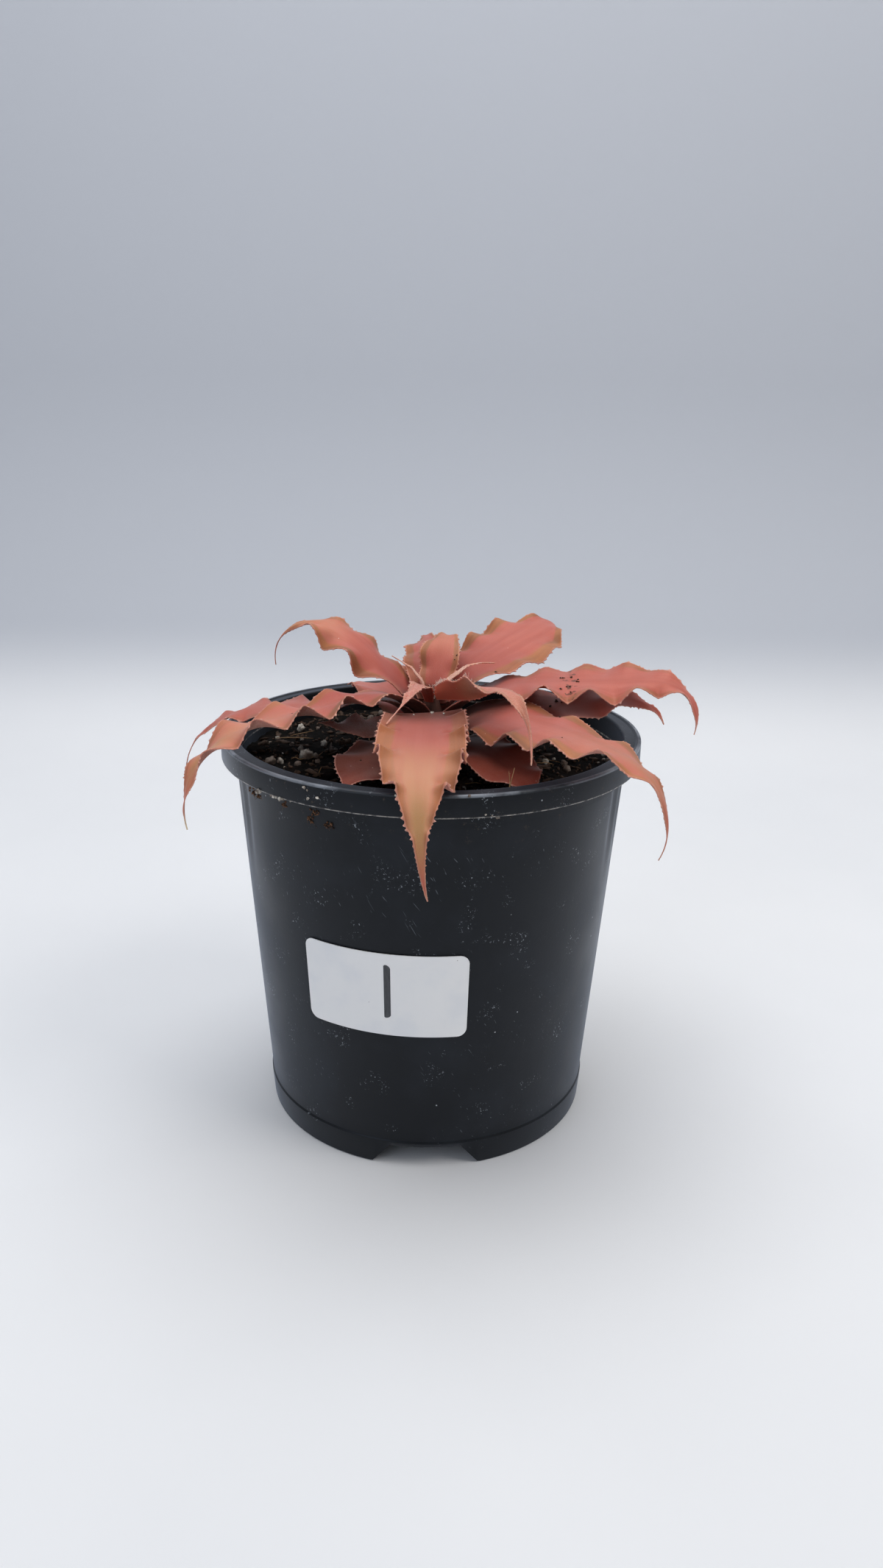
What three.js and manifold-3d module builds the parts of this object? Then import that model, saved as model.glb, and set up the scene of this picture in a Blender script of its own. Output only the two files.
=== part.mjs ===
// Potted earth star: a low rosette of wavy, toothed leaves on a short stem,
// standing in potting soil in a thin black nursery pot with a plain paper label.
// Millimetres, +Z up, the pot's foot on z = 0. The front of the pot faces -Y.
import * as THREE from "three";
import { mergeVertices } from "three/addons/utils/BufferGeometryUtils.js";
import Module from "manifold-3d";

const wasm = await Module();
wasm.setup();

// Pot
const POT_HEIGHT = 134;
const FOOT_RADIUS = 55.5;
const WALL_SLOPE = 0.0776; // how much the radius grows for each mm of height
const WALL = 1.5;
const RIM_RADIUS = 70;
const RIM_DEPTH = 7; // the turned-down skirt of the rim
const RIM_WALL = 1.3;
const RIM_ROUND = 0.7;
const FOOT_STEP_HEIGHT = 9.5; // the foot stands out a little up to here
const FOOT_STEP = 0.4;
const FLOOR_UNDER = 7.5; // the floor is raised on the foot
const FLOOR = 2;
const NOTCH_WIDTH = 35; // three sloped gaps in the foot let water out
const NOTCH_TOP_WIDTH = 23;
const NOTCH_ANGLES = [30, 150, 270];
const DRAIN_RADIUS = 4.5;
const DRAIN_CIRCLE = 36;
const DRAINS = 6;
// Shallow upright flutes on the two sides, fading out below the rim
const FLUTE_DEPTH = 0.6;
const FLUTE_PITCH = 8; // degrees
const FLUTE_SPAN = 28; // degrees each side of a group's middle
const FLUTE_ANGLES = [0, 180];
const FLUTE_TOP = 126;
const FLUTE_BOTTOM = 88;
const WALL_STEP = 6.2; // degrees between the wall's points where it is plain

// Soil, which fills the pot to 9 mm below the rim
const GAP = 0.3; // between pieces that touch
const SOIL_TOP = 124.5;
const SOIL_DOME = 1.3;
const SOIL_ROUGHNESS = 0.7;
const GRAINS = 30; // white perlite
const GRAIN_RADIUS = [1.0, 2.1];
const CHIPS = 9; // bark
const CHIP_LENGTH = [4, 7];
const CHIP_WIDTH = [2, 3];
const CHIP_THICKNESS = 1.6;
const OPEN_SOIL = [20, 60]; // distance from the axis where grains and bark lie
const SEED = 7;

// Stem, a short cone that stands in a hole in the soil
const STEM_BOTTOM = 116;
const STEM_TOP = 147;
const STEM_FOOT_RADIUS = 7.2;
const STEM_CONE_BOTTOM = 127.5;
const STEM_TOP_RADIUS = 1.4;

// Label, a paper sticker bent round the wall
const LABEL_FROM = 231.8; // degrees round the pot
const LABEL_TO = 281.8;
const LABEL_BOTTOM = 50.8;
const LABEL_TOP = 79.8;
const LABEL_THICKNESS = 0.45;
const LABEL_CORNER = 3;
const LABEL_STEPS = 16; // between its corners

// Leaves
const MARGIN_THICKNESS = 0.65;
const MIDRIB_THICKNESS = 1.2;
const ROOT_THICKNESS = 0.8; // at the midrib's root
const ROOT_STANDOFF = 0.8; // from the stem's surface to the middle of the blade
const TOOTH = 0.9;
const TOOTH_LEAN = 0.25; // how far a tooth leans towards the tip, in stations
const TIP_HALF_WIDTH = 0.3;
const ROOT_SHARE = 0.5; // width at the root over the greatest width
const MIDRIB_STEPS = 96;
const ACROSS = [-1, -0.6, 0, 0.6, 1]; // right margin, midrib, left margin

// The leaves, roughly from the lowest and oldest to the youngest in the heart.
// heading: degrees round the stem, 270 towards the front. height of the root on the
// stem. length along the midrib. climb: the midrib's slope in degrees at
// five even steps. bend: sideways curve in degrees. width, and shoulder: where along
// the leaf it has narrowed to half. left and right: waves along each margin, as
// number, start and height. skew: how steep the waves' far sides are. roll and twist:
// degrees about the midrib at the root and added by the tip. cup: how far the margins
// lift. flare: sideways share of the waves.
const LEAVES = [
  {
    heading: 248, height: 127.5, length: 57, climb: [38, 11, 2, -5, -19], bend: -6,
    width: 28, shoulder: 0.86, left: [3.2, 0.12, 1.2], right: [3.1, 0.11, 0.9],
    skew: 0.3, roll: -1, twist: 7, cup: 0.02, flare: 0, stations: 20,
  },
  {
    heading: 299, height: 129, length: 58, climb: [42, 11, -6, -12, -15], bend: 0,
    width: 23, shoulder: 0.92, left: [3.3, 0.33, 1.1], right: [3.2, 0.3, 1.2],
    skew: 0.3, roll: -2, twist: 5, cup: 0.06, flare: 0.2, stations: 20,
  },
  {
    heading: 192, height: 129.8, length: 32, climb: [35, 20, 0, 12, 6], bend: -11,
    width: 20.5, shoulder: 0.76, left: [3, 0.27, 0.4], right: [3.2, 0.3, 1.2],
    skew: 0.3, roll: 2, twist: -10, cup: 0.07, flare: 0.2, stations: 20,
  },
  {
    heading: 124, height: 130.5, length: 52, climb: [45, 18, 6, -5, -20], bend: 0,
    width: 20, shoulder: 0.74, left: [3.2, 0.3, 1.3], right: [3.2, 0.3, 1.3],
    skew: 0.3, roll: 2, twist: 0, cup: 0.1, flare: 0.2, stations: 20,
  },
  {
    heading: 353, height: 130.9, length: 77, climb: [44, 13, 10, 4, -67], bend: 9,
    width: 24, shoulder: 0.77, left: [5.2, 0.25, 2.2], right: [5, 0.49, 1.7],
    skew: 0.5, roll: 3, twist: 19, cup: 0.09, flare: 0.4, stations: 30,
  },
  {
    heading: 88, height: 132.3, length: 89, climb: [45, 11, 2, -7, -59], bend: 0,
    width: 23, shoulder: 0.72, left: [5, 0.3, 2], right: [5, 0.3, 2],
    skew: 0.3, roll: -2, twist: 0, cup: 0.1, flare: 0.2, stations: 30,
  },
  {
    heading: 313, height: 132.9, length: 116, climb: [45, 6, -1, -20, -113], bend: -11,
    width: 31, shoulder: 0.72, left: [5.1, 0.15, 1.8], right: [7.2, 0.31, 2.1],
    skew: 0.4, roll: 21, twist: -51, cup: -0.09, flare: -0.2, stations: 38,
  },
  {
    heading: 266, height: 134.6, length: 107, climb: [53, -1, -9, -40, -120], bend: 9,
    width: 26.5, shoulder: 0.7, left: [7.2, 0.25, 3.7], right: [7, 0.34, 2.6],
    skew: 0.8, roll: 9, twist: -27, cup: 0.11, flare: -0.2, stations: 38,
  },
  {
    heading: 181, height: 134.8, length: 92, climb: [66, -7, -4, -26, -81], bend: -5,
    width: 23, shoulder: 0.72, left: [6, 0.87, 1.3], right: [7.2, 0.78, 1.4],
    skew: 0.6, roll: 11, twist: -16, cup: -0.04, flare: 0.3, stations: 34,
  },
  {
    heading: 215, height: 137.5, length: 109, climb: [60, -4, -2, -24, -96], bend: 22,
    width: 22, shoulder: 0.77, left: [6.6, 0.95, 2.7], right: [5.6, 0.56, 2.5],
    skew: 0.05, roll: 5, twist: 8, cup: 0.12, flare: -0.3, stations: 38,
  },
  {
    heading: 355, height: 137, length: 97, climb: [54, 11, 3, -1, -111], bend: -22,
    width: 25.5, shoulder: 0.77, left: [7.3, 0.54, 1.2], right: [6.3, 0.86, 2.9],
    skew: 0, roll: -10, twist: 36, cup: 0.06, flare: 0.1, stations: 38,
  },
  {
    heading: 157, height: 138.5, length: 75, climb: [53, 42, 26, -22, -101], bend: 2,
    width: 20, shoulder: 0.62, left: [4, 0.58, 3.7], right: [5.8, 0.83, 1.3],
    skew: 0.2, roll: 12, twist: -46, cup: -0.2, flare: 0.2, stations: 34,
  },
  {
    heading: 45, height: 141.5, length: 87, climb: [48, 19, 10, -1, -69], bend: 28,
    width: 31, shoulder: 0.73, left: [5.9, 0.7, 2.2], right: [4.9, 0.62, 1.5],
    skew: 0.1, roll: -6, twist: 30, cup: -0.09, flare: 0, stations: 34,
  },
  {
    heading: 93, height: 142.6, length: 52, climb: [52, 35, 4, 5, -31], bend: 0,
    width: 17, shoulder: 0.71, left: [3.8, 0.94, 1.1], right: [3.9, 0.96, 1.6],
    skew: 0.3, roll: -7, twist: -8, cup: 0.03, flare: 0.3, stations: 20,
  },
  {
    heading: 297.5, height: 146.5, length: 81, climb: [20, 13, 13, -20, -66], bend: -16.5,
    width: 8.4, shoulder: 0.69, left: [2.6, 0.18, 1.1], right: [3.1, 0.13, 1.6],
    skew: 0.2, roll: -90, twist: 155, cup: 0.05, flare: 0.3, stations: 26,
  },
  {
    heading: 77, height: 144.2, length: 32, climb: [64, 52, 49, 9, -38], bend: -3,
    width: 12.5, shoulder: 0.8, left: [2.5, 0.01, 1.1], right: [2.5, 0.15, 0.8],
    skew: 0.3, roll: 1, twist: 2, cup: 0.08, flare: 0.5, stations: 16,
  },
  {
    heading: 252, height: 143.7, length: 41, climb: [70, 22, -15, -13, -19], bend: -6,
    width: 7.5, shoulder: 0.54, left: [2.5, 0.05, 0.8], right: [2.6, 0.61, 1.3],
    skew: 0.2, roll: -1, twist: -5, cup: 0.05, flare: 0.4, stations: 16,
  },
  {
    heading: 171, height: 146.3, length: 17, climb: [80, 62, 40, 31, 26], bend: 0,
    width: 6, shoulder: 0.55, left: [2, 1, 0.3], right: [2, 1, 0.3],
    skew: 0.3, roll: 2, twist: 0, cup: 0.1, flare: 0.3, stations: 12,
  },
  {
    heading: 18, height: 145.9, length: 23, climb: [65, 41, 27, 6, -10], bend: -1,
    width: 5.5, shoulder: 0.55, left: [2, 0.98, 0.3], right: [2, 0, 0.3],
    skew: 0.3, roll: 5, twist: 2, cup: 0.12, flare: 0.3, stations: 12,
  },
];

const rad = THREE.MathUtils.degToRad;
const clamp = THREE.MathUtils.clamp;
const smooth = (x, low, high) => THREE.MathUtils.smoothstep(x, low, high);
const between = ([low, high], share) => low + (high - low) * share;

function wallRadius(z) {
  return FOOT_RADIUS + WALL_SLOPE * z;
}

// Seeded random numbers between 0 and 1
function randomSource(seed) {
  let state = seed;
  return () => {
    state = (Math.imul(state, 1664525) + 1013904223) >>> 0;
    return state / 4294967296;
  };
}

function meshData(points, triangles) {
  const geometry = new THREE.BufferGeometry();
  geometry.setAttribute("position", new THREE.Float32BufferAttribute(points.flat(), 3));
  geometry.setIndex(triangles.flat());
  return geometry;
}

function toSolid(geometry) {
  const bare = new THREE.BufferGeometry().setAttribute("position", geometry.getAttribute("position"));
  if (geometry.index) bare.setIndex(geometry.index);
  const merged = mergeVertices(bare, 1e-4);
  return new wasm.Manifold(
    new wasm.Mesh({
      numProp: 3,
      vertProperties: new Float32Array(merged.attributes.position.array),
      triVerts: new Uint32Array(merged.index.array),
    }),
  );
}

function toGeometry(solid) {
  const mesh = solid.getMesh();
  const geometry = new THREE.BufferGeometry();
  geometry.setAttribute("position", new THREE.Float32BufferAttribute(mesh.vertProperties, 3));
  geometry.setIndex(Array.from(mesh.triVerts));
  return geometry;
}

// Turns an outline of [radius, height] about Z. The outline closes on itself, or
// starts and ends on the axis. shape moves each point after it is turned.
function turned(outline, angles, shape = (point) => point) {
  const points = [];
  const rows = outline.map(([radius, height]) => {
    if (radius === 0) {
      points.push([0, 0, height]);
      return angles.map(() => points.length - 1);
    }
    return angles.map((angle) => {
      const a = rad(angle);
      points.push(shape([radius * Math.cos(a), radius * Math.sin(a), height], radius, angle));
      return points.length - 1;
    });
  });
  const open = outline[0][0] === 0;
  const triangles = [];
  const last = open ? rows.length - 1 : rows.length;
  for (let i = 0; i < last; i++) {
    const low = rows[i];
    const high = rows[(i + 1) % rows.length];
    for (let j = 0; j < angles.length; j++) {
      const k = (j + 1) % angles.length;
      if (low[j] !== low[k]) triangles.push([low[j], low[k], high[k]]);
      if (high[j] !== high[k]) triangles.push([low[j], high[k], high[j]]);
    }
  }
  return meshData(points, triangles);
}

function evenAngles(count) {
  return Array.from({ length: count }, (_, i) => (i * 360) / count);
}

// Closer together where the flutes are
function potAngles() {
  const angles = [];
  for (let angle = -FLUTE_SPAN; angle < 360 - FLUTE_SPAN - 0.1; ) {
    angles.push(angle);
    const inFlutes = FLUTE_ANGLES.some((middle) => Math.abs(angle - middle + 0.5) < FLUTE_SPAN);
    angle += inFlutes ? FLUTE_PITCH / 3 : WALL_STEP;
  }
  return angles;
}

// How deep the flutes are at a place on the wall
function fluteDepth(angle, z) {
  const middle = FLUTE_ANGLES.find((a) => Math.abs(angle - a) <= FLUTE_SPAN);
  if (middle === undefined) return 0;
  const across = (0.5 - 0.5 * Math.cos((2 * Math.PI * (angle - middle + FLUTE_SPAN)) / FLUTE_PITCH));
  return FLUTE_DEPTH * across * smooth(z, FLUTE_BOTTOM, FLUTE_TOP - 12);
}

function potOutline() {
  const top = POT_HEIGHT;
  const skirtInside = RIM_RADIUS - RIM_WALL;
  const rimUnder = top - RIM_WALL;
  const lipInside = wallRadius(top) - WALL;
  const flutes = [FLUTE_BOTTOM, 100, 114, FLUTE_TOP];
  return [
    [0, FLOOR_UNDER],
    [FOOT_RADIUS - WALL, FLOOR_UNDER],
    [FOOT_RADIUS - WALL, 0],
    [FOOT_RADIUS + FOOT_STEP, 0],
    [wallRadius(FOOT_STEP_HEIGHT) + FOOT_STEP, FOOT_STEP_HEIGHT - FOOT_STEP],
    [wallRadius(FOOT_STEP_HEIGHT), FOOT_STEP_HEIGHT],
    ...flutes.map((z) => [wallRadius(z), z]),
    [wallRadius(rimUnder), rimUnder],
    [skirtInside, rimUnder],
    [skirtInside, top - RIM_DEPTH],
    [RIM_RADIUS, top - RIM_DEPTH],
    [RIM_RADIUS, top - RIM_ROUND],
    [RIM_RADIUS - RIM_ROUND, top],
    [lipInside, top],
    [wallRadius(FLOOR_UNDER + FLOOR) - WALL, FLOOR_UNDER + FLOOR],
    [0, FLOOR_UNDER + FLOOR],
  ];
}

function makePot() {
  const fluted = ([x, y, z], radius, angle) => {
    const onWall = Math.abs(radius - wallRadius(z)) < 0.01;
    const scale = onWall ? 1 - fluteDepth(angle, z) / radius : 1;
    return [x * scale, y * scale, z];
  };
  let pot = toSolid(turned(potOutline(), potAngles(), fluted));
  for (const angle of NOTCH_ANGLES) pot = pot.subtract(footNotch(angle));
  for (let i = 0; i < DRAINS; i++) {
    const a = rad((i * 360) / DRAINS);
    pot = pot.subtract(drain(DRAIN_CIRCLE * Math.cos(a), DRAIN_CIRCLE * Math.sin(a)));
  }
  return toGeometry(pot.subtract(drain(0, 0)));
}

function footNotch(angle) {
  const half = NOTCH_WIDTH / 2;
  const halfTop = NOTCH_TOP_WIDTH / 2;
  const under = 1; // the cutter starts this far below the foot
  const wider = ((half - halfTop) / FLOOR_UNDER) * under;
  const outline = new THREE.Shape([
    new THREE.Vector2(-half - wider, -under),
    new THREE.Vector2(half + wider, -under),
    new THREE.Vector2(halfTop, FLOOR_UNDER),
    new THREE.Vector2(-halfTop, FLOOR_UNDER),
  ]);
  const wedge = new THREE.ExtrudeGeometry(outline, { depth: 20, bevelEnabled: false });
  wedge.rotateX(Math.PI / 2); // now upright, and running towards -Y
  wedge.translate(0, -FOOT_RADIUS + 12, 0);
  wedge.rotateZ(rad(angle - 270));
  return toSolid(wedge);
}

function drain(x, y) {
  const hole = new THREE.CylinderGeometry(DRAIN_RADIUS, DRAIN_RADIUS, FLOOR + 2, 16);
  hole.rotateX(Math.PI / 2);
  hole.translate(x, y, FLOOR_UNDER + FLOOR / 2);
  return toSolid(hole);
}

function soilSurface(radius) {
  return SOIL_TOP + SOIL_DOME * (1 - (radius / 64) ** 2);
}

// Radius of the stem at a height: a cone from the soil up
function stemRadius(z) {
  const share = clamp((z - STEM_CONE_BOTTOM) / (STEM_TOP - STEM_CONE_BOTTOM), 0, 1);
  return STEM_FOOT_RADIUS + (STEM_TOP_RADIUS - STEM_FOOT_RADIUS) * share;
}

function makeSoil() {
  const random = randomSource(SEED);
  const bottom = FLOOR_UNDER + FLOOR + GAP;
  const edge = wallRadius(SOIL_TOP) - WALL - GAP;
  const hole = STEM_FOOT_RADIUS + GAP;
  const rings = [edge, 57, 49, 41, 33, 25, 17, hole];
  const outline = [
    [0, bottom],
    [wallRadius(bottom) - WALL - GAP, bottom],
    ...rings.map((radius) => [radius, soilSurface(radius)]),
    [hole, STEM_BOTTOM - GAP],
    [0, STEM_BOTTOM - GAP],
  ];
  const rough = ([x, y, z], radius) => {
    const onTop = z > STEM_BOTTOM && radius < edge && radius > hole;
    return [x, y, onTop ? z + (random() - 0.5) * 2 * SOIL_ROUGHNESS : z];
  };
  let soil = toSolid(turned(outline, evenAngles(40), rough));
  for (let i = 0; i < GRAINS; i++) soil = soil.add(grain(random));
  for (let i = 0; i < CHIPS; i++) soil = soil.add(barkChip(random));
  return toGeometry(soil);
}

// A place on the open soil, between the lowest leaves and the wall
function soilPlace(random) {
  const angle = 2 * Math.PI * random();
  const radius = between(OPEN_SOIL, Math.sqrt(random()));
  return [radius * Math.cos(angle), radius * Math.sin(angle), soilSurface(radius)];
}

function grain(random) {
  const [x, y, z] = soilPlace(random);
  const size = between(GRAIN_RADIUS, random());
  const stone = new THREE.IcosahedronGeometry(size, 0);
  stone.rotateX(3 * random());
  stone.rotateZ(3 * random());
  stone.translate(x, y, z + 0.1 * size);
  return toSolid(stone);
}

function barkChip(random) {
  const [x, y, z] = soilPlace(random);
  const length = between(CHIP_LENGTH, random());
  const chip = new THREE.BoxGeometry(length, between(CHIP_WIDTH, random()), CHIP_THICKNESS);
  chip.rotateX(0.5 * (random() - 0.5));
  chip.rotateZ(Math.PI * random());
  chip.translate(x, y, z + 0.1);
  return toSolid(chip);
}

function makeStem() {
  const outline = [
    [0, STEM_BOTTOM],
    [STEM_FOOT_RADIUS, STEM_BOTTOM],
    [STEM_FOOT_RADIUS, STEM_CONE_BOTTOM],
    [stemRadius(STEM_TOP), STEM_TOP],
    [0, STEM_TOP + 0.8],
  ];
  return turned(outline, evenAngles(24));
}

// How far the label's long edges draw in near its ends, for the rounded corners
function labelInset(fromEnd) {
  if (fromEnd >= LABEL_CORNER) return 0;
  return LABEL_CORNER - Math.sqrt(LABEL_CORNER ** 2 - (LABEL_CORNER - fromEnd) ** 2);
}

function makeLabel() {
  const middle = wallRadius((LABEL_BOTTOM + LABEL_TOP) / 2);
  const length = middle * rad(LABEL_TO - LABEL_FROM);
  const corner = [0, 0.25, 0.9, 1.9, LABEL_CORNER];
  const step = (length - 2 * LABEL_CORNER) / LABEL_STEPS;
  const straight = Array.from({ length: LABEL_STEPS - 1 }, (_, i) => LABEL_CORNER + (i + 1) * step);
  const places = [...corner, ...straight, ...corner.map((d) => length - d).reverse()];
  const points = [];
  for (const along of places) {
    const angle = rad(LABEL_FROM) + along / middle;
    const inset = labelInset(Math.min(along, length - along));
    for (const z of [LABEL_BOTTOM + inset, LABEL_TOP - inset]) {
      for (const out of [GAP, GAP + LABEL_THICKNESS]) {
        const radius = wallRadius(z) + out;
        points.push([radius * Math.cos(angle), radius * Math.sin(angle), z]);
      }
    }
  }
  return meshData(points, tubeTriangles(places.length, [0, 1, 3, 2]));
}

// Skin of a bar whose points come in groups, one group for each cross-section.
// order lists a group's corners anticlockwise as seen looking along the bar.
function tubeTriangles(sections, order) {
  const size = order.length;
  const triangles = [];
  for (let i = 0; i < sections - 1; i++) {
    for (let j = 0; j < size; j++) {
      const a = i * size + order[j];
      const b = i * size + order[(j + 1) % size];
      triangles.push([a, a + size, b + size], [a, b + size, b]);
    }
  }
  const end = (sections - 1) * size;
  for (let j = 1; j < size - 1; j++) {
    triangles.push([order[0], order[j], order[j + 1]]);
    triangles.push([end + order[0], end + order[j + 1], end + order[j]]);
  }
  return triangles;
}

// A smooth curve through evenly spaced values, at x from 0 to 1
function through(values, x) {
  const spans = values.length - 1;
  const i = Math.min(Math.floor(x * spans), spans - 1);
  const t = x * spans - i;
  const b = values[i];
  const c = values[i + 1];
  const a = i > 0 ? values[i - 1] : 2 * b - c;
  const d = i < spans - 1 ? values[i + 2] : 2 * c - b;
  const cubic = (2 * a - 5 * b + 4 * c - d) * t ** 2 + (3 * b - a - 3 * c + d) * t ** 3;
  return 0.5 * (2 * b + (c - a) * t + cubic);
}

// The midrib's direction, and the blade's left side and upper face there
function midribFrame(leaf, s) {
  const slope = rad(through(leaf.climb, s));
  const heading = rad(leaf.heading);
  const bend = rad(leaf.bend) * s * s;
  const ahead = new THREE.Vector3(
    Math.cos(slope) * Math.cos(heading),
    Math.cos(slope) * Math.sin(heading),
    Math.sin(slope),
  );
  const left = new THREE.Vector3(-Math.sin(heading), Math.cos(heading), 0);
  const up = new THREE.Vector3().crossVectors(ahead, left);
  ahead.applyAxisAngle(up, bend);
  left.applyAxisAngle(up, bend);
  return { slope, ahead, left, up };
}

// Points along the midrib, MIDRIB_STEPS + 1 of them
function midribPoints(leaf) {
  const heading = rad(leaf.heading);
  const radius = stemRadius(leaf.height) + ROOT_STANDOFF;
  let point = new THREE.Vector3(radius * Math.cos(heading), radius * Math.sin(heading), leaf.height);
  const points = [point];
  for (let i = 1; i <= MIDRIB_STEPS; i++) {
    const before = midribFrame(leaf, (i - 1) / MIDRIB_STEPS).ahead;
    const after = midribFrame(leaf, i / MIDRIB_STEPS).ahead;
    point = point.clone().addScaledVector(before.add(after), leaf.length / MIDRIB_STEPS / 2);
    points.push(point);
  }
  return points;
}

function halfWidth(leaf, s) {
  const opening = ROOT_SHARE + (1 - ROOT_SHARE) * Math.sin((clamp(s / 0.35, 0, 1) * Math.PI) / 2);
  const narrowing = 1 / (1 + (s / leaf.shoulder) ** 10);
  return 0.5 * leaf.width * opening * narrowing * (1 - s ** 14) + TIP_HALF_WIDTH;
}

// How far the waves lift the blade at s along and v across it
function waveLift(leaf, s, v, half) {
  const [number, start, height] = v >= 0 ? leaf.left : leaf.right;
  const grown = smooth(s, 0.1, 0.35) * Math.min(1, half / (0.275 * leaf.width));
  const turn = 2 * Math.PI * (number * s + start) - 0.5 * (Math.abs(v) ** 1.5 - 1);
  return height * grown * Math.abs(v) ** 1.3 * Math.sin(turn + leaf.skew * Math.sin(turn));
}

function bladePoint(leaf, midrib, s, v, tooth) {
  const { slope, left, up, ahead } = midribFrame(leaf, s);
  const place = s * MIDRIB_STEPS;
  const index = Math.min(Math.floor(place), MIDRIB_STEPS - 1);
  const centre = midrib[index].clone().lerp(midrib[index + 1], place - index);
  const roll = rad(leaf.roll + leaf.twist * s);
  left.applyAxisAngle(ahead, roll);
  up.applyAxisAngle(ahead, roll);
  const half = halfWidth(leaf, s);
  const aside = v * half;
  const reach = Math.hypot(centre.x, centre.y);
  const clasp = 1 - smooth(s, 0.12, 0.37); // the root wraps the stem
  const wave = waveLift(leaf, s, v, half);
  const lift =
    clasp * Math.sin(slope) * (Math.hypot(reach, aside) - reach) +
    (1 - clasp) * leaf.cup * Math.abs(v) ** 1.7 * half +
    wave;
  const outward = aside + Math.sign(v) * (wave * leaf.flare + tooth * Math.min(1, half / 3));
  return centre.addScaledVector(left, outward).addScaledVector(up, lift);
}

function bladeThickness(s, v) {
  const midrib = ROOT_THICKNESS + (MIDRIB_THICKNESS - ROOT_THICKNESS) * clamp(s / 0.3, 0, 1);
  return midrib + (MARGIN_THICKNESS - midrib) * Math.abs(v);
}

// Stations along a leaf, with a tooth at every second one, leaning to the tip
function stationPlaces(leaf) {
  return Array.from({ length: leaf.stations + 1 }, (_, k) => {
    const toothed = k % 2 === 1 && k < leaf.stations - 1;
    return { s: (k + (toothed ? TOOTH_LEAN : 0)) / leaf.stations, tooth: toothed ? TOOTH : 0 };
  });
}

function makeLeaf(leaf) {
  const midrib = midribPoints(leaf);
  const places = stationPlaces(leaf);
  const rows = places.map(({ s, tooth }) =>
    ACROSS.map((v) => bladePoint(leaf, midrib, s, v, Math.abs(v) === 1 ? tooth : 0)),
  );
  const points = [];
  rows.forEach((row, i) => {
    const before = rows[Math.max(i - 1, 0)];
    const after = rows[Math.min(i + 1, rows.length - 1)];
    const normals = row.map((_, j) => {
      const along = after[j].clone().sub(before[j]);
      const across = row[Math.min(j + 1, row.length - 1)].clone().sub(row[Math.max(j - 1, 0)]);
      return along.cross(across).normalize();
    });
    const halves = ACROSS.map((v) => bladeThickness(places[i].s, v) / 2);
    row.forEach((point, j) => points.push(point.clone().addScaledVector(normals[j], halves[j]).toArray()));
    row.forEach((point, j) => points.push(point.clone().addScaledVector(normals[j], -halves[j]).toArray()));
  });
  return meshData(points, bladeTriangles(rows.length));
}

// Upper and lower faces are split alike, then joined round the edge
function bladeTriangles(count) {
  const wide = ACROSS.length;
  const group = 2 * wide;
  const triangles = [];
  const quad = (a, b, c, d) => triangles.push([a, b, c], [a, c, d]);
  for (let i = 0; i < count - 1; i++) {
    const here = i * group;
    const next = here + group;
    for (let j = 0; j < wide - 1; j++) {
      quad(here + j, next + j, next + j + 1, here + j + 1);
      triangles.push([here + wide + j, next + wide + j + 1, next + wide + j]);
      triangles.push([here + wide + j, here + wide + j + 1, next + wide + j + 1]);
    }
    quad(here, here + wide, next + wide, next);
    const edge = wide - 1;
    quad(here + edge, next + edge, next + wide + edge, here + wide + edge);
  }
  const tip = (count - 1) * group;
  for (let j = 0; j < wide - 1; j++) {
    quad(j, j + 1, wide + j + 1, wide + j);
    quad(tip + j, tip + wide + j, tip + wide + j + 1, tip + j + 1);
  }
  return triangles;
}

function piece(name, geometry, color, roughness) {
  const material = new THREE.MeshStandardMaterial({ color, roughness, metalness: 0 });
  const mesh = new THREE.Mesh(geometry, material);
  mesh.name = name;
  return mesh;
}

const plant = new THREE.Group();
plant.add(piece("pot", makePot(), 0x23262c, 0.45));
plant.add(piece("soil", makeSoil(), 0x1f1815, 0.95));
plant.add(piece("stem", makeStem(), 0x7a4a3a, 0.8));
plant.add(piece("label", makeLabel(), 0xf2f1ee, 0.6));
LEAVES.forEach((leaf, i) => {
  const name = "leaf_" + String(i + 1).padStart(2, "0");
  plant.add(piece(name, makeLeaf(leaf), 0xc47a6e, 0.55));
});

export default plant;
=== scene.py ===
# %% [markdown]
# # A potted earth star
#
# The earth star is a small bromeliad: a flat rosette of stiff, wavy leaves with a fringe
# of fine teeth. This lesson dresses a solid model of one, in a black nursery pot. The
# solid model fixes every size and place, so the first step is to load it. Sizes here are
# written in millimetres, as they are measured on the plant, and turned to metres when a
# mesh is made.

# %% Load the frame
import math
import bmesh
import bpy
import numpy as np
from mathutils import Matrix, Vector, noise


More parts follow.
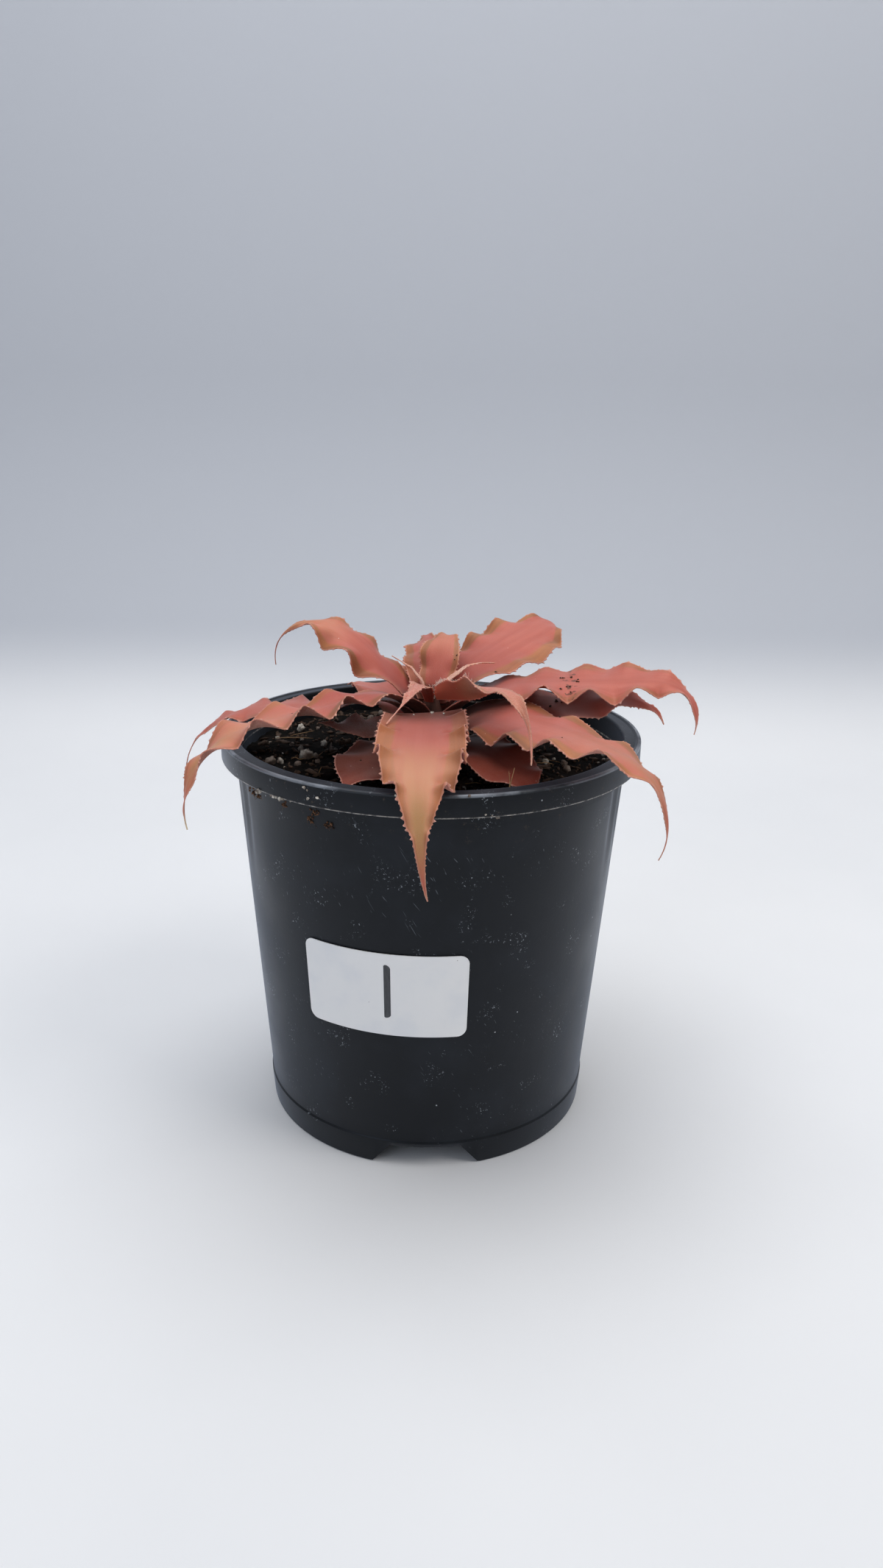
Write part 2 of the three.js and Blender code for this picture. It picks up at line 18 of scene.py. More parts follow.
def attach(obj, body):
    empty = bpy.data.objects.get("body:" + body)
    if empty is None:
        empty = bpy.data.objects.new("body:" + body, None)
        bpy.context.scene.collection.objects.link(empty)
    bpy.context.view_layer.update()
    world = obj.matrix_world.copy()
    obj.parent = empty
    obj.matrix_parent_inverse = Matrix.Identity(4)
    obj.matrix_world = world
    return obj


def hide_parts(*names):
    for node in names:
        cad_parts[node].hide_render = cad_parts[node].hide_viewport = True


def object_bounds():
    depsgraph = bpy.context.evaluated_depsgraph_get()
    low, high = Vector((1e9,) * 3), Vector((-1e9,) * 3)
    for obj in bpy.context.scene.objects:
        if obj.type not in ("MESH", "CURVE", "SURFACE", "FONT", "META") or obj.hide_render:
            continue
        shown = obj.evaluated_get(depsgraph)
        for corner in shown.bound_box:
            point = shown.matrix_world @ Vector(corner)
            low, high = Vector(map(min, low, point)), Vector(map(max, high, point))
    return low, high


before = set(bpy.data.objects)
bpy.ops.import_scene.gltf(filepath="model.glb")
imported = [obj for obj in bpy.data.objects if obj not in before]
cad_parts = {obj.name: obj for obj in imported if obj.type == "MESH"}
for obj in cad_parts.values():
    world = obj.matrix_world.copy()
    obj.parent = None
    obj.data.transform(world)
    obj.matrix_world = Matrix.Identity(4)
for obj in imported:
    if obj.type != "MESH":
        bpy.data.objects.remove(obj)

CAD_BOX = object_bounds()
MM = 0.001
print("nodes:", sorted(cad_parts))
print("box of the solid model:", CAD_BOX)

# %% [markdown]
# ## Colours and nodes
#
# Colours are written as sRGB hex values, the way a paint or print colour is given,
# and a shader needs them linear. Patterns are sized by the real spacing of what they
# draw, so one function turns millimetres into a texture's scale. Every node goes in
# through the same small function, which sets its values, links what feeds it and gives
# the output that is used. Four settings come back so often that they have names. The
# nodes could be laid out by hand in the shader editor, but in code a pattern can be read,
# changed and used again.
#
# Some sockets share a name, so they go by number. On a Mix node, 0 is the share and 6 and
# 7 are the two colours. On a Map Range node, 0 is the value, 1 and 2 are the ends that it
# runs between, and 3 and 4 are what those become, which is 0 and 1 if nothing is said.

# %% Colours


def colour(code):
    """A hex code's colour in linear light."""
    parts = [int(code[i : i + 2], 16) / 255 for i in (1, 3, 5)]
    linear = [c / 12.92 if c <= 0.04045 else ((c + 0.055) / 1.055) ** 2.4 for c in parts]
    return (*linear, 1.0)


print("black plastic in linear light:", [round(c, 4) for c in colour("#08090B")])

# %% Nodes
SMOOTH = {"interpolation_type": "SMOOTHSTEP"}
COLOURS = {"data_type": "RGBA"}
TIMES = {"operation": "MULTIPLY"}
PLUS = {"operation": "ADD"}


def spaced(size_mm):
    """The scale of a texture whose spots are this far apart."""
    return 1 / (size_mm * MM)


def node(tree, kind, inputs=None, out=0, **settings):
    """Adds a node and gives one of its outputs. inputs holds values, hex colours or outputs."""
    made = tree.nodes.new("ShaderNode" + kind)
    for name, value in settings.items():
        setattr(made, name, value)
    for name, value in (inputs or {}).items():
        if isinstance(value, bpy.types.NodeSocket):
            tree.links.new(value, made.inputs[name])
        else:
            made.inputs[name].default_value = colour(value) if isinstance(value, str) else value
    return made.outputs[out]


print("scale of spots 5 mm apart:", round(spaced(5), 1))

# %% Finishes


def specks(tree, place, apart_mm, share, radius_mm):
    """Round specks in this share of the cells of a Voronoi pattern."""
    away = node(tree, "TexVoronoi", {"Vector": place, "Scale": spaced(apart_mm)}, "Distance")
    cell = node(tree, "SeparateColor", {0: away.node.outputs["Color"]})
    near = node(tree, "MapRange", {0: away, 1: radius_mm / apart_mm, 2: 0.5 * radius_mm / apart_mm}, **SMOOTH)
    chosen = node(tree, "MapRange", {0: cell, 1: 1 - share, 2: 1.02 - share}, **SMOOTH)
    return node(tree, "Math", {0: near, 1: chosen}, **TIMES)


def start_material(name, surface):
    """A new material, its node tree, its shader, with surface's values on it, and the place."""
    material = bpy.data.materials.new(name)
    material.use_nodes = True
    tree = material.node_tree
    shader = tree.nodes["Principled BSDF"]
    for socket, value in surface.items():
        shader.inputs[socket].default_value = value
    return material, tree, shader, node(tree, "TexCoord", out="Object")


def dress(tree, shader, base, relief, strength, depth_mm):
    """Links a colour and a relief to the shader."""
    tree.links.new(base, shader.inputs["Base Color"])
    bump = node(tree, "Bump", {"Height": relief, "Strength": strength, "Distance": depth_mm * MM})
    tree.links.new(bump, shader.inputs["Normal"])


print("finishes are made by:", start_material.__name__, dress.__name__, specks.__name__)

# %% [markdown]
# ## Meshes
#
# Almost everything here is a grid of points: a blade is a grid along and across, and a
# pot is an outline turned about its axis. So one function makes a mesh from points and
# faces given in millimetres, shades it smoothly and keeps edges sharp past an angle.

# %% Pieces


def into_scene(name, data):
    """An object for a mesh, a camera or a lamp, linked to the scene."""
    made = bpy.data.objects.new(name, data)
    bpy.context.scene.collection.objects.link(made)
    return made


def make_piece(name, points, faces, material, node_name=None, slot=None, sharp=None):
    """A dressed piece that rides the pot, and takes the place of a node where one is named."""
    mesh = bpy.data.meshes.new(name)
    mesh.from_pydata((np.asarray(points, float) * MM).tolist(), [], faces)
    mesh.validate()
    mesh.polygons.foreach_set("use_smooth", [True] * len(mesh.polygons))
    if sharp is not None:
        mesh.set_sharp_from_angle(angle=math.radians(sharp))
    mesh.materials.append(material)
    piece = into_scene(name, mesh)
    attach(piece, "root")
    if node_name:
        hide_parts(node_name)
    return piece


def grid_faces(rows, columns, close_rows=False, close_columns=False):
    """Faces of a grid whose points are listed row by row."""
    faces = []
    for i in range(rows if close_rows else rows - 1):
        for j in range(columns if close_columns else columns - 1):
            k = (j + 1) % columns
            low = i * columns
            high = (i + 1) % rows * columns
            faces.append((low + j, low + k, high + k, high + j))
    return faces


print("a grid of 3 by 4 points has", len(grid_faces(3, 4)), "faces")

# %% [markdown]
# ## Camera
#
# The photograph was taken from a little above the pot, looking down, at arm's length.
# The distance, height and lens were worked out from the pot's own outline: its rim, its
# band and its foot are circles of known size, and only one camera shows them like that.

# %% Camera
CAMERA_BACK = 382 * MM
CAMERA_UP = 243 * MM
CAMERA_PITCH = math.radians(18.66)
CAMERA_YAW = math.radians(0.56)
CAMERA_ROLL = math.radians(1.02)
FRAME_HEIGHT = 2131
FOCAL_PIXELS = 1598
SENSOR = 36.0


def add_camera():
    camera = bpy.data.cameras.new("camera")
    camera.sensor_width = SENSOR
    camera.lens = FOCAL_PIXELS * SENSOR / FRAME_HEIGHT
    camera.clip_start = 0.01
    ahead = Vector((
        math.sin(CAMERA_YAW) * math.cos(CAMERA_PITCH),
        math.cos(CAMERA_YAW) * math.cos(CAMERA_PITCH),
        -math.sin(CAMERA_PITCH),
    ))
    right = Vector((math.cos(CAMERA_YAW), -math.sin(CAMERA_YAW), 0))
    up = right.cross(ahead)
    tilted_right = right * math.cos(CAMERA_ROLL) + up * math.sin(CAMERA_ROLL)
    tilted_up = up * math.cos(CAMERA_ROLL) - right * math.sin(CAMERA_ROLL)
    turn = Matrix((tilted_right, tilted_up, -ahead)).transposed().to_4x4()
    placed = into_scene("camera", camera)
    placed.matrix_world = Matrix.Translation((0, -CAMERA_BACK, CAMERA_UP)) @ turn
    bpy.context.scene.camera = placed
    return placed


print("lens:", round(add_camera().data.lens, 2), "mm")

# %% [markdown]
# ## Black polypropylene
#
# Nursery pots are injection moulded from recycled polypropylene coloured with carbon
# black. The mould is lightly textured, so the plastic has a satin skin: nearly black
# where it faces the eye, and blue-grey at its sides, where it mirrors the surroundings
# and a film of dust catches the light. The shader's sheen stands for that dust. Handling
# leaves fine scratches, specks and splashes of potting mix. They could be painted on an
# unwrapped image, but three-dimensional noise needs no unwrapping and goes round the pot
# with no seam. The mould's grain is about 0.3 mm and is drawn at 0.9 mm, so that it
# shows.

# %% Pot plastic
BAND_BOTTOM = 127.0
POT_HEIGHT = 134.0
RIM_RADIUS = 70.0
INSIDE_RADIUS = 64.9
INSIDE_FROM = 122.0


def pot_plastic():
    material, tree, shader, place = start_material("black_polypropylene", {
        "IOR": 1.49,
        "Specular IOR Level": 0.3,
        "Specular Tint": colour("#E0E7F2"),
        "Sheen Weight": 0.48,
        "Sheen Roughness": 0.4,
        "Sheen Tint": colour("#A3B0C6"),
    })
    height = node(tree, "SeparateXYZ", {0: place}, "Z")
    cloud = node(tree, "TexNoise", {"Vector": place, "Scale": spaced(28), "Detail": 5.0})
    film = node(tree, "MapRange", {0: cloud, 1: 0.45, 2: 0.75, 4: 0.08}, **SMOOTH)
    skin = node(tree, "Mix", {0: film, 6: "#08090B", 7: "#565E6A"}, 2, **COLOURS)

    # scratches: hairlines along two slants, only where the pot was handled, and drawn
    # 0.5 mm apart and broader than they are, so that they show
    hands = node(tree, "TexNoise", {"Vector": place, "Scale": spaced(26), "Detail": 2.0})
    handled = node(tree, "MapRange", {0: hands, 1: 0.48, 2: 0.62}, **SMOOTH)
    for turn, factors in ((0.5, (1.0, 1.0, 0.04)), (-0.9, (0.05, 1.0, 1.0))):
        turned = node(tree, "VectorRotate", {"Vector": place, "Angle": turn}, rotation_type="Y_AXIS")
        drawn = node(tree, "VectorMath", {0: turned, 1: factors}, **TIMES)
        hairs = node(tree, "TexNoise", {"Vector": drawn, "Scale": spaced(0.5), "Detail": 1.0})
        lines = node(tree, "MapRange", {0: hairs, 1: 0.73, 2: 0.79, 4: 0.35}, **SMOOTH)
        scratched = node(tree, "Math", {0: handled, 1: lines}, **TIMES)
        skin = node(tree, "Mix", {0: scratched, 6: skin, 7: "#8C939B"}, 2, **COLOURS)

    # dust: round specks here and there, and dabs where it was wiped together
    dust = specks(tree, place, 3.6, 0.1, 0.3)
    skin = node(tree, "Mix", {0: dust, 6: skin, 7: "#A9AEB4"}, 2, **COLOURS)
    wipes = node(tree, "TexNoise", {"Vector": place, "Scale": spaced(11), "Detail": 1.0})
    wiped = node(tree, "MapRange", {0: wipes, 1: 0.6, 2: 0.68}, **SMOOTH)
    dabs = node(tree, "TexNoise", {"Vector": place, "Scale": spaced(0.8), "Detail": 4.0, "Roughness": 0.7})
    dabs = node(tree, "MapRange", {0: dabs, 1: 0.6, 2: 0.66, 4: 0.8}, **SMOOTH)
    dabbed = node(tree, "Math", {0: wiped, 1: dabs}, **TIMES)
    skin = node(tree, "Mix", {0: dabbed, 6: skin, 7: "#9BA1A8"}, 2, **COLOURS)

    # the rim's outer ridge gets a pale line: partly scuffing, partly a painted highlight
    level = node(tree, "VectorMath", {0: place, 1: (1.0, 1.0, 0.0)}, **TIMES)
    beyond = node(tree, "VectorMath", {0: level}, "Value", operation="LENGTH")
    outer = {0: beyond, 1: (RIM_RADIUS - 1.3) * MM, 2: (RIM_RADIUS - 0.9) * MM}
    upper = {0: height, 1: (POT_HEIGHT - 0.9) * MM, 2: (POT_HEIGHT - 0.5) * MM}
    ridge = node(tree, "MapRange", outer, **SMOOTH)
    ridge = node(tree, "Math", {0: ridge, 1: node(tree, "MapRange", upper, **SMOOTH)}, **TIMES)
    knocks = node(tree, "TexNoise", {"Vector": place, "Scale": spaced(18), "Detail": 5.0, "Roughness": 0.6})
    knocks = node(tree, "MapRange", {0: knocks, 1: 0.4, 2: 0.6, 3: 0.1, 4: 0.8}, **SMOOTH)
    scuff_and_painted_highlight = node(tree, "Math", {0: ridge, 1: knocks}, **TIMES)
    skin = node(tree, "Mix", {0: scuff_and_painted_highlight, 6: skin, 7: "#8C9199"}, 2, **COLOURS)

    # painted shade: the wall's inside is painted near black from the bed up to the rim, where light hardly
    # reaches
    inner = {0: beyond, 1: (INSIDE_RADIUS + 0.2) * MM, 2: (INSIDE_RADIUS - 0.2) * MM}
    above_bed = {0: height, 1: INSIDE_FROM * MM, 2: (INSIDE_FROM + 1) * MM}
    below_rim = {0: height, 1: (POT_HEIGHT - 0.6) * MM, 2: (POT_HEIGHT - 1.4) * MM}
    inside = node(tree, "MapRange", inner, **SMOOTH)
    for limit in (above_bed, below_rim):
        inside = node(tree, "Math", {0: inside, 1: node(tree, "MapRange", limit, **SMOOTH)}, **TIMES)
    skin = node(tree, "Mix", {0: inside, 6: skin, 7: "#030303"}, 2, **COLOURS)

    # potting mix that dried on under the rim
    below = node(tree, "MapRange", {0: height, 1: 110 * MM, 2: BAND_BOTTOM * MM}, **SMOOTH)
    mud = node(tree, "TexNoise", {"Vector": place, "Scale": spaced(3), "Detail": 6.0, "Roughness": 0.75})
    mud = node(tree, "MapRange", {0: mud, 1: 0.6, 2: 0.7, 4: 0.6}, **SMOOTH)
    earth = node(tree, "Math", {0: below, 1: mud}, **TIMES)
    skin = node(tree, "Mix", {0: earth, 6: skin, 7: "#51463B"}, 2, **COLOURS)

    # the mould's parting line, a pale worn thread along the bottom edge of the band
    above = {0: height, 1: (BAND_BOTTOM + 0.5) * MM, 2: (BAND_BOTTOM + 0.2) * MM}
    under = {0: height, 1: (BAND_BOTTOM - 0.3) * MM, 2: (BAND_BOTTOM - 0.05) * MM}
    thread = node(tree, "MapRange", above, **SMOOTH)
    thread = node(tree, "Math", {0: thread, 1: node(tree, "MapRange", under, **SMOOTH)}, **TIMES)
    worn = node(tree, "TexNoise", {"Vector": place, "Scale": spaced(2.5), "Detail": 4.0, "Roughness": 0.7})
    worn = node(tree, "MapRange", {0: worn, 1: 0.4, 2: 0.6, 3: 0.15, 4: 1.0}, **SMOOTH)
    thread = node(tree, "Math", {0: worn, 1: thread}, **TIMES)
    skin = node(tree, "Mix", {0: thread, 6: skin, 7: "#A7A29B"}, 2, **COLOURS)

    grain = node(tree, "TexNoise", {"Vector": place, "Scale": spaced(0.9), "Detail": 3.0})
    dress(tree, shader, skin, grain, 0.25, 0.06)

    # the pale ridge is smoother, and the earth and the painted shade inside are matt
    rough = node(tree, "MapRange", {0: cloud, 1: 0.3, 2: 0.7, 3: 0.34, 4: 0.48}, **SMOOTH)
    for cover, change in ((scuff_and_painted_highlight, -0.15), (earth, 0.5), (inside, 0.5)):
        change = node(tree, "Math", {0: cover, 1: change}, **TIMES)
        rough = node(tree, "Math", {0: rough, 1: change}, **PLUS)
    tree.links.new(rough, shader.inputs["Roughness"])
    return material


POT_PLASTIC = pot_plastic()
print("pot plastic nodes:", len(POT_PLASTIC.node_tree.nodes))

# %% [markdown]
# ## Pot
#
# The wall is a shallow cone, 1.5 mm thick. At the top it rolls outwards and down into a
# 7 mm skirt, which hangs free of the wall and makes the rim stiff. The foot stands out
# a hair's breadth, and three sloped notches let water out from under the raised floor.
# Two groups of shallow flutes help fingers hold it. The Screw modifier could turn an
# outline of the wall about the axis. Here the outline is turned in code, with its
# corners rounded first, because the flutes and notches then only have to move its points
# as it turns. The floor is a flat curve with holes in it, filled and made thick.

# %% Rounded corners


def rounded(outline, radii, steps=5):
    """An outline of [radius, height] points with its corners rounded."""
    points = []
    count = len(outline)
    for i, (corner, radius) in enumerate(zip(outline, radii)):
        here = np.array(corner, float)
        before = np.array(outline[i - 1], float) - here
        after = np.array(outline[(i + 1) % count], float) - here
        if radius == 0:
            points.append(here)
            continue
        before_length = np.linalg.norm(before)
        after_length = np.linalg.norm(after)
        before /= before_length
        after /= after_length
        half = math.acos(np.clip(before @ after, -1, 1)) / 2
        reach = min(radius / math.tan(half), 0.45 * before_length, 0.45 * after_length)
        for t in np.linspace(0, 1, steps):
            a = here + before * reach * (1 - t) ** 2
            points.append(a + after * reach * t**2)
    return np.array(points)


print("a rounded square has", len(rounded([[0, 0], [1, 0], [1, 1], [0, 1]], [0.1] * 4)), "points")

# %% Wall, flutes and notches
FOOT_RADIUS = 55.5
WALL_SLOPE = 0.0776
WALL = 1.5
RIM_WALL = 1.3
FLOOR_UNDER = 7.5
FLOOR = 2.0
FOOT_STEP_HEIGHT = 9.5
FOOT_STEP = 0.4
NOTCH_WIDTH = 35.0
NOTCH_TOP_WIDTH = 23.0
FLUTE_PITCH = 8.0
FLUTE_SPAN = 28.0
FLUTE_DEPTH = 0.6
FLUTE_FROM = 88.0
FLUTE_TO = 114.0
HOLE_RADIUS = 4.5
HOLE_CIRCLE = 36.0
HOLES = 6


def smoothstep(x, low, high):
    t = np.clip((np.asarray(x, float) - low) / (high - low), 0, 1)
    return t * t * (3 - 2 * t)


def wall_radius(z):
    return FOOT_RADIUS + WALL_SLOPE * z


def flute_depth(angle, z):
    """How far a flute presses the wall in, at an angle in degrees and a height."""
    off = np.minimum(np.abs((angle + 180) % 360 - 180), np.abs(angle - 180))
    wave = 0.5 - 0.5 * np.cos(2 * np.pi * (off + FLUTE_SPAN) / FLUTE_PITCH)
    return FLUTE_DEPTH * wave * (off < FLUTE_SPAN) * smoothstep(z, FLUTE_FROM, FLUTE_TO)


def notch_height(angle):
    """The height of the foot's lower edge, raised at notches at 30, 150 and 270 degrees."""
    off = np.abs((angle - 30 + 60) % 120 - 60)
    from_middle = FOOT_RADIUS * np.sin(np.radians(off))
    slope = (NOTCH_WIDTH / 2 - from_middle) / (NOTCH_WIDTH - NOTCH_TOP_WIDTH) * 2
    return (FLOOR_UNDER - 0.03) * np.clip(slope, 0, 1)


print("the wall's radius at the foot and the rim:", wall_radius(0), round(wall_radius(POT_HEIGHT), 2))

# %% Pot


def pot_outline():
    top = POT_HEIGHT
    under_rim = top - RIM_WALL
    wall_rows = [[wall_radius(z), z] for z in np.arange(14, 127, 4.0)]
    corners = [
        ([FOOT_RADIUS - WALL, FLOOR_UNDER], 0),
        ([FOOT_RADIUS - WALL, 0.0], 0.4),
        ([FOOT_RADIUS + FOOT_STEP, 0.0], 0.6),
        ([wall_radius(FOOT_STEP_HEIGHT) + FOOT_STEP, FOOT_STEP_HEIGHT - FOOT_STEP], 0.3),
        ([wall_radius(FOOT_STEP_HEIGHT), FOOT_STEP_HEIGHT + 0.2], 0.3),
        *[(row, 0) for row in wall_rows],
        ([wall_radius(under_rim), under_rim], 0.8),
        ([RIM_RADIUS - RIM_WALL, under_rim], 0.5),
        ([RIM_RADIUS - RIM_WALL, BAND_BOTTOM], 0.2),
        ([RIM_RADIUS, BAND_BOTTOM], 0.25),
        ([RIM_RADIUS, top - 0.02], 0.8),
        ([RIM_RADIUS - 1.3, top - 0.02], 0.5),
        ([RIM_RADIUS - 1.9, top - 0.5], 0.4),
        ([wall_radius(top) - WALL, top - 0.1], 0.7),
        ([wall_radius(100) - WALL, 100.0], 0),
        ([wall_radius(FLOOR_UNDER + FLOOR) - WALL, FLOOR_UNDER + FLOOR], 0),
    ]
    return rounded([c for c, _ in corners], [r for _, r in corners])


def make_pot():
    outline = pot_outline()
    angles = np.arange(0, 360, 1.0)
    turn = np.radians(angles)
    radius = np.repeat(outline[:, :1], len(angles), 1)
    height = np.repeat(outline[:, 1:], len(angles), 1)
    on_wall = np.abs(radius - wall_radius(height)) < 0.02
    radius = radius - on_wall * flute_depth(angles[None, :], height)
    foot = height < FLOOR_UNDER - 0.01
    raised = notch_height(angles)[None, :] + 0.2 * height / FLOOR_UNDER
    height = np.where(foot, np.maximum(height, raised), height)
    points = np.stack([radius * np.cos(turn), radius * np.sin(turn), height], -1).reshape(-1, 3)
    faces = grid_faces(len(outline), len(angles), close_rows=True, close_columns=True)
    return make_piece("pot_shell", points, faces, POT_PLASTIC, "pot", "pot", sharp=40)


def make_pot_floor():
    """A disc with a hole in the middle and others round it."""
    curve = bpy.data.curves.new("pot_floor", "CURVE")
    curve.dimensions = "2D"
    curve.fill_mode = "BOTH"
    curve.extrude = (FLOOR / 2 - 0.02) * MM
    circles = [(0, 0, FOOT_RADIUS - WALL + 0.05, 120), (0, 0, HOLE_RADIUS, 40)]
    for i in range(HOLES):
        a = math.radians(360 / HOLES * i)
        circles.append((HOLE_CIRCLE * math.cos(a), HOLE_CIRCLE * math.sin(a), HOLE_RADIUS, 40))
    for x, y, radius, count in circles:
        spline = curve.splines.new("POLY")
        spline.points.add(count - 1)
        for i, point in enumerate(spline.points):
            a = 2 * math.pi * i / count
            point.co = ((x + radius * math.cos(a)) * MM, (y + radius * math.sin(a)) * MM, 0, 1)
        spline.use_cyclic_u = True
    shape = bpy.data.objects.new("pot_floor_shape", curve)
    mesh = bpy.data.meshes.new_from_object(shape)
    bpy.data.objects.remove(shape)
    mesh.transform(Matrix.Translation((0, 0, (FLOOR_UNDER + FLOOR / 2) * MM)))
    mesh.materials.append(POT_PLASTIC)
    piece = into_scene("pot_floor", mesh)
    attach(piece, "root")
    return piece


POT = make_pot()
POT_FLOOR = make_pot_floor()
print("pot faces:", len(POT.data.polygons), "floor faces:", len(POT_FLOOR.data.polygons))

# %% [markdown]
# ## Potting mix
#
# The mix is moist black peat with fibres, white perlite (a volcanic glass popped like
# corn, so it is rounded and full of pores) and bits of bark. The mix is so dark that
# hardly more than its lumps show. A Displace modifier could make the bed, but here it is
# a disc of points lifted in code by three sizes of noise, for clods, crumbs and grit, so
# that whatever lies on it can ask for its height. Perlite and bark are separate lumps,
# because what catches the eye is how they sit half sunk in it. Perlite's pores are about
# 0.1 mm wide and are drawn at 0.35 mm, so that they show.

# %% Soil, perlite and bark materials


def banded(name, roughness, factors, size_mm, detail, dark, light, strength, depth_mm):
    """A material whose colour and relief run between two tones, in bands drawn out by factors."""
    material, tree, shader, place = start_material(name, {"Roughness": roughness, "IOR": 1.45})
    drawn = node(tree, "VectorMath", {0: place, 1: factors}, **TIMES)
    bands = node(tree, "TexNoise", {"Vector": drawn, "Scale": spaced(size_mm), "Detail": detail})
    skin = node(tree, "Mix", {0: bands, 6: dark, 7: light}, 2, **COLOURS)
    dress(tree, shader, skin, bands, strength, depth_mm)
    return material


def peat():
    surface = {"Roughness": 0.92, "IOR": 1.4, "Specular IOR Level": 0.15}
    material, tree, shader, place = start_material("moist_peat", surface)
    crumbs = node(tree, "TexNoise", {"Vector": place, "Scale": spaced(1.1), "Detail": 6.0, "Roughness": 0.7})
    lit = node(tree, "MapRange", {0: crumbs, 1: 0.5, 2: 0.85}, **SMOOTH)
    skin = node(tree, "Mix", {0: lit, 6: "#070605", 7: "#30251F"}, 2, **COLOURS)
    clods = node(tree, "TexNoise", {"Vector": place, "Scale": spaced(7), "Detail": 2.0})
    drier = node(tree, "MapRange", {0: clods, 1: 0.5, 2: 0.7, 4: 0.3}, **SMOOTH)
    skin = node(tree, "Mix", {0: drier, 6: skin, 7: "#2E221C"}, 2, **COLOURS)
    dress(tree, shader, skin, crumbs, 0.9, 0.5)
    return material


def perlite():
    material, tree, shader, place = start_material("perlite", {"Roughness": 0.85, "IOR": 1.5})
    pores = node(tree, "TexVoronoi", {"Vector": place, "Scale": spaced(0.35)}, "Distance")
    spots = node(tree, "TexNoise", {"Vector": place, "Scale": spaced(1.6), "Detail": 4.0})
    spots = node(tree, "MapRange", {0: spots, 1: 0.42, 2: 0.68, 4: 0.85}, **SMOOTH)
    skin = node(tree, "Mix", {0: spots, 6: "#D9D3C8", 7: "#6E5F50"}, 2, **COLOURS)
    # the mix stains some of the grains all over
    stain = node(tree, "TexNoise", {"Vector": place, "Scale": spaced(9), "Detail": 1.0})
    stain = node(tree, "MapRange", {0: stain, 1: 0.42, 2: 0.55, 4: 0.85}, **SMOOTH)
    skin = node(tree, "Mix", {0: stain, 6: skin, 7: "#57443A"}, 2, **COLOURS)
    dress(tree, shader, skin, pores, 0.7, 0.15)
    return material


PEAT = peat()
PERLITE = perlite()
# bark is dull and dark, banded across its grain
BARK = banded(
    "pine_bark", roughness=0.8, factors=(1.0, 0.2, 1.0), size_mm=0.8, detail=4.0,
    dark="#17100C", light="#5A412F", strength=0.6, depth_mm=0.2,
)
# dry stalks are pale, and a little smoother
STRAW = banded(
    "dry_straw", roughness=0.6, factors=(1.0, 1.0, 1.0), size_mm=1.5, detail=4.0,
    dark="#7F5530", light="#C8A678", strength=0.4, depth_mm=0.1,
)
print("soil materials:", PEAT.name, PERLITE.name, BARK.name, STRAW.name)

# %% Soil bed
SOIL_TOP = 124.5
SOIL_DOME = 1.3
SOIL_GAP = 0.3
SOIL_EDGE = wall_radius(SOIL_TOP) - WALL - SOIL_GAP


def soil_height(x, y):
    radius = math.hypot(x, y)
    clod = noise.noise(Vector((x, y, 3)) / 9)
    crumb = noise.noise(Vector((x, y, 8)) / 2.3)
    grit = noise.noise(Vector((x, y, 5)) / 0.9)
    return SOIL_TOP + SOIL_DOME * (1 - (radius / 64) ** 2) + 0.9 * clod + 0.55 * crumb + 0.25 * grit


def make_soil():
    turn = np.linspace(0, 2 * np.pi, 420, endpoint=False)
    rings = np.linspace(0.5, SOIL_EDGE, 86)
    rows = []
    for radius in rings:
        ring = [(radius * math.cos(a), radius * math.sin(a)) for a in turn]
        rows.append([(x, y, soil_height(x, y)) for x, y in ring])
    bottom = FLOOR_UNDER + FLOOR + SOIL_GAP
    foot = wall_radius(bottom) - WALL - SOIL_GAP
    rows.append([(foot * math.cos(a), foot * math.sin(a), bottom) for a in turn])
    rows.append([(0.5 * math.cos(a), 0.5 * math.sin(a), bottom) for a in turn])
    points = np.array(rows).reshape(-1, 3)
    faces = grid_faces(len(rows), len(turn), close_rows=True, close_columns=True)
    faces = [face[::-1] for face in faces]
    return make_piece("soil_bed", points, faces, PEAT, "soil", "soil")


SOIL = make_soil()
print("soil faces:", len(SOIL.data.polygons))

# %% [markdown]
# Small grains are scattered over the bed by a seeded draw. The large ones that show in
# front are listed one by one, with a dry twig that lies across them and thin stalks that
# stand up in the mix. Each lump is a small sphere pushed in and out by noise, and all lumps
# of a kind are one mesh, which is quicker to render than hundreds of objects.

# %% Lumps
RANDOM = np.random.default_rng(7)


def sphere(steps):
    shape = bmesh.new()
    bmesh.ops.create_icosphere(shape, subdivisions=steps, radius=1.0)
    shape.verts.index_update()
    points = np.array([vertex.co[:] for vertex in shape.verts])
    faces = [[vertex.index for vertex in face.verts] for face in shape.faces]
    shape.free()
    return points, faces


CHIPPED = sphere(1)
COARSE = sphere(2)
FINE = sphere(3)


def lump(centre, sizes, rough, ball=COARSE):
    """Points and faces of a bumpy stone, turned at random."""
    points, faces = ball
    turn = Matrix.Rotation(RANDOM.uniform(0, 6.28), 3, "Z") @ Matrix.Rotation(RANDOM.uniform(0, 6.28), 3, "X")
    seed = Vector(RANDOM.uniform(0, 50, 3).tolist())
    large = np.array([noise.noise(Vector(point) * 1.4 + seed) for point in points])
    small = np.array([noise.noise(Vector(point) * 4 + seed) for point in points])
    push = 1 + rough * large + 0.4 * rough * small
    return points * push[:, None] * np.array(sizes) @ np.array(turn).T + np.array(centre), faces


print("points of a coarse and a fine lump:", len(COARSE[0]), len(FINE[0]))

# %% Stalks


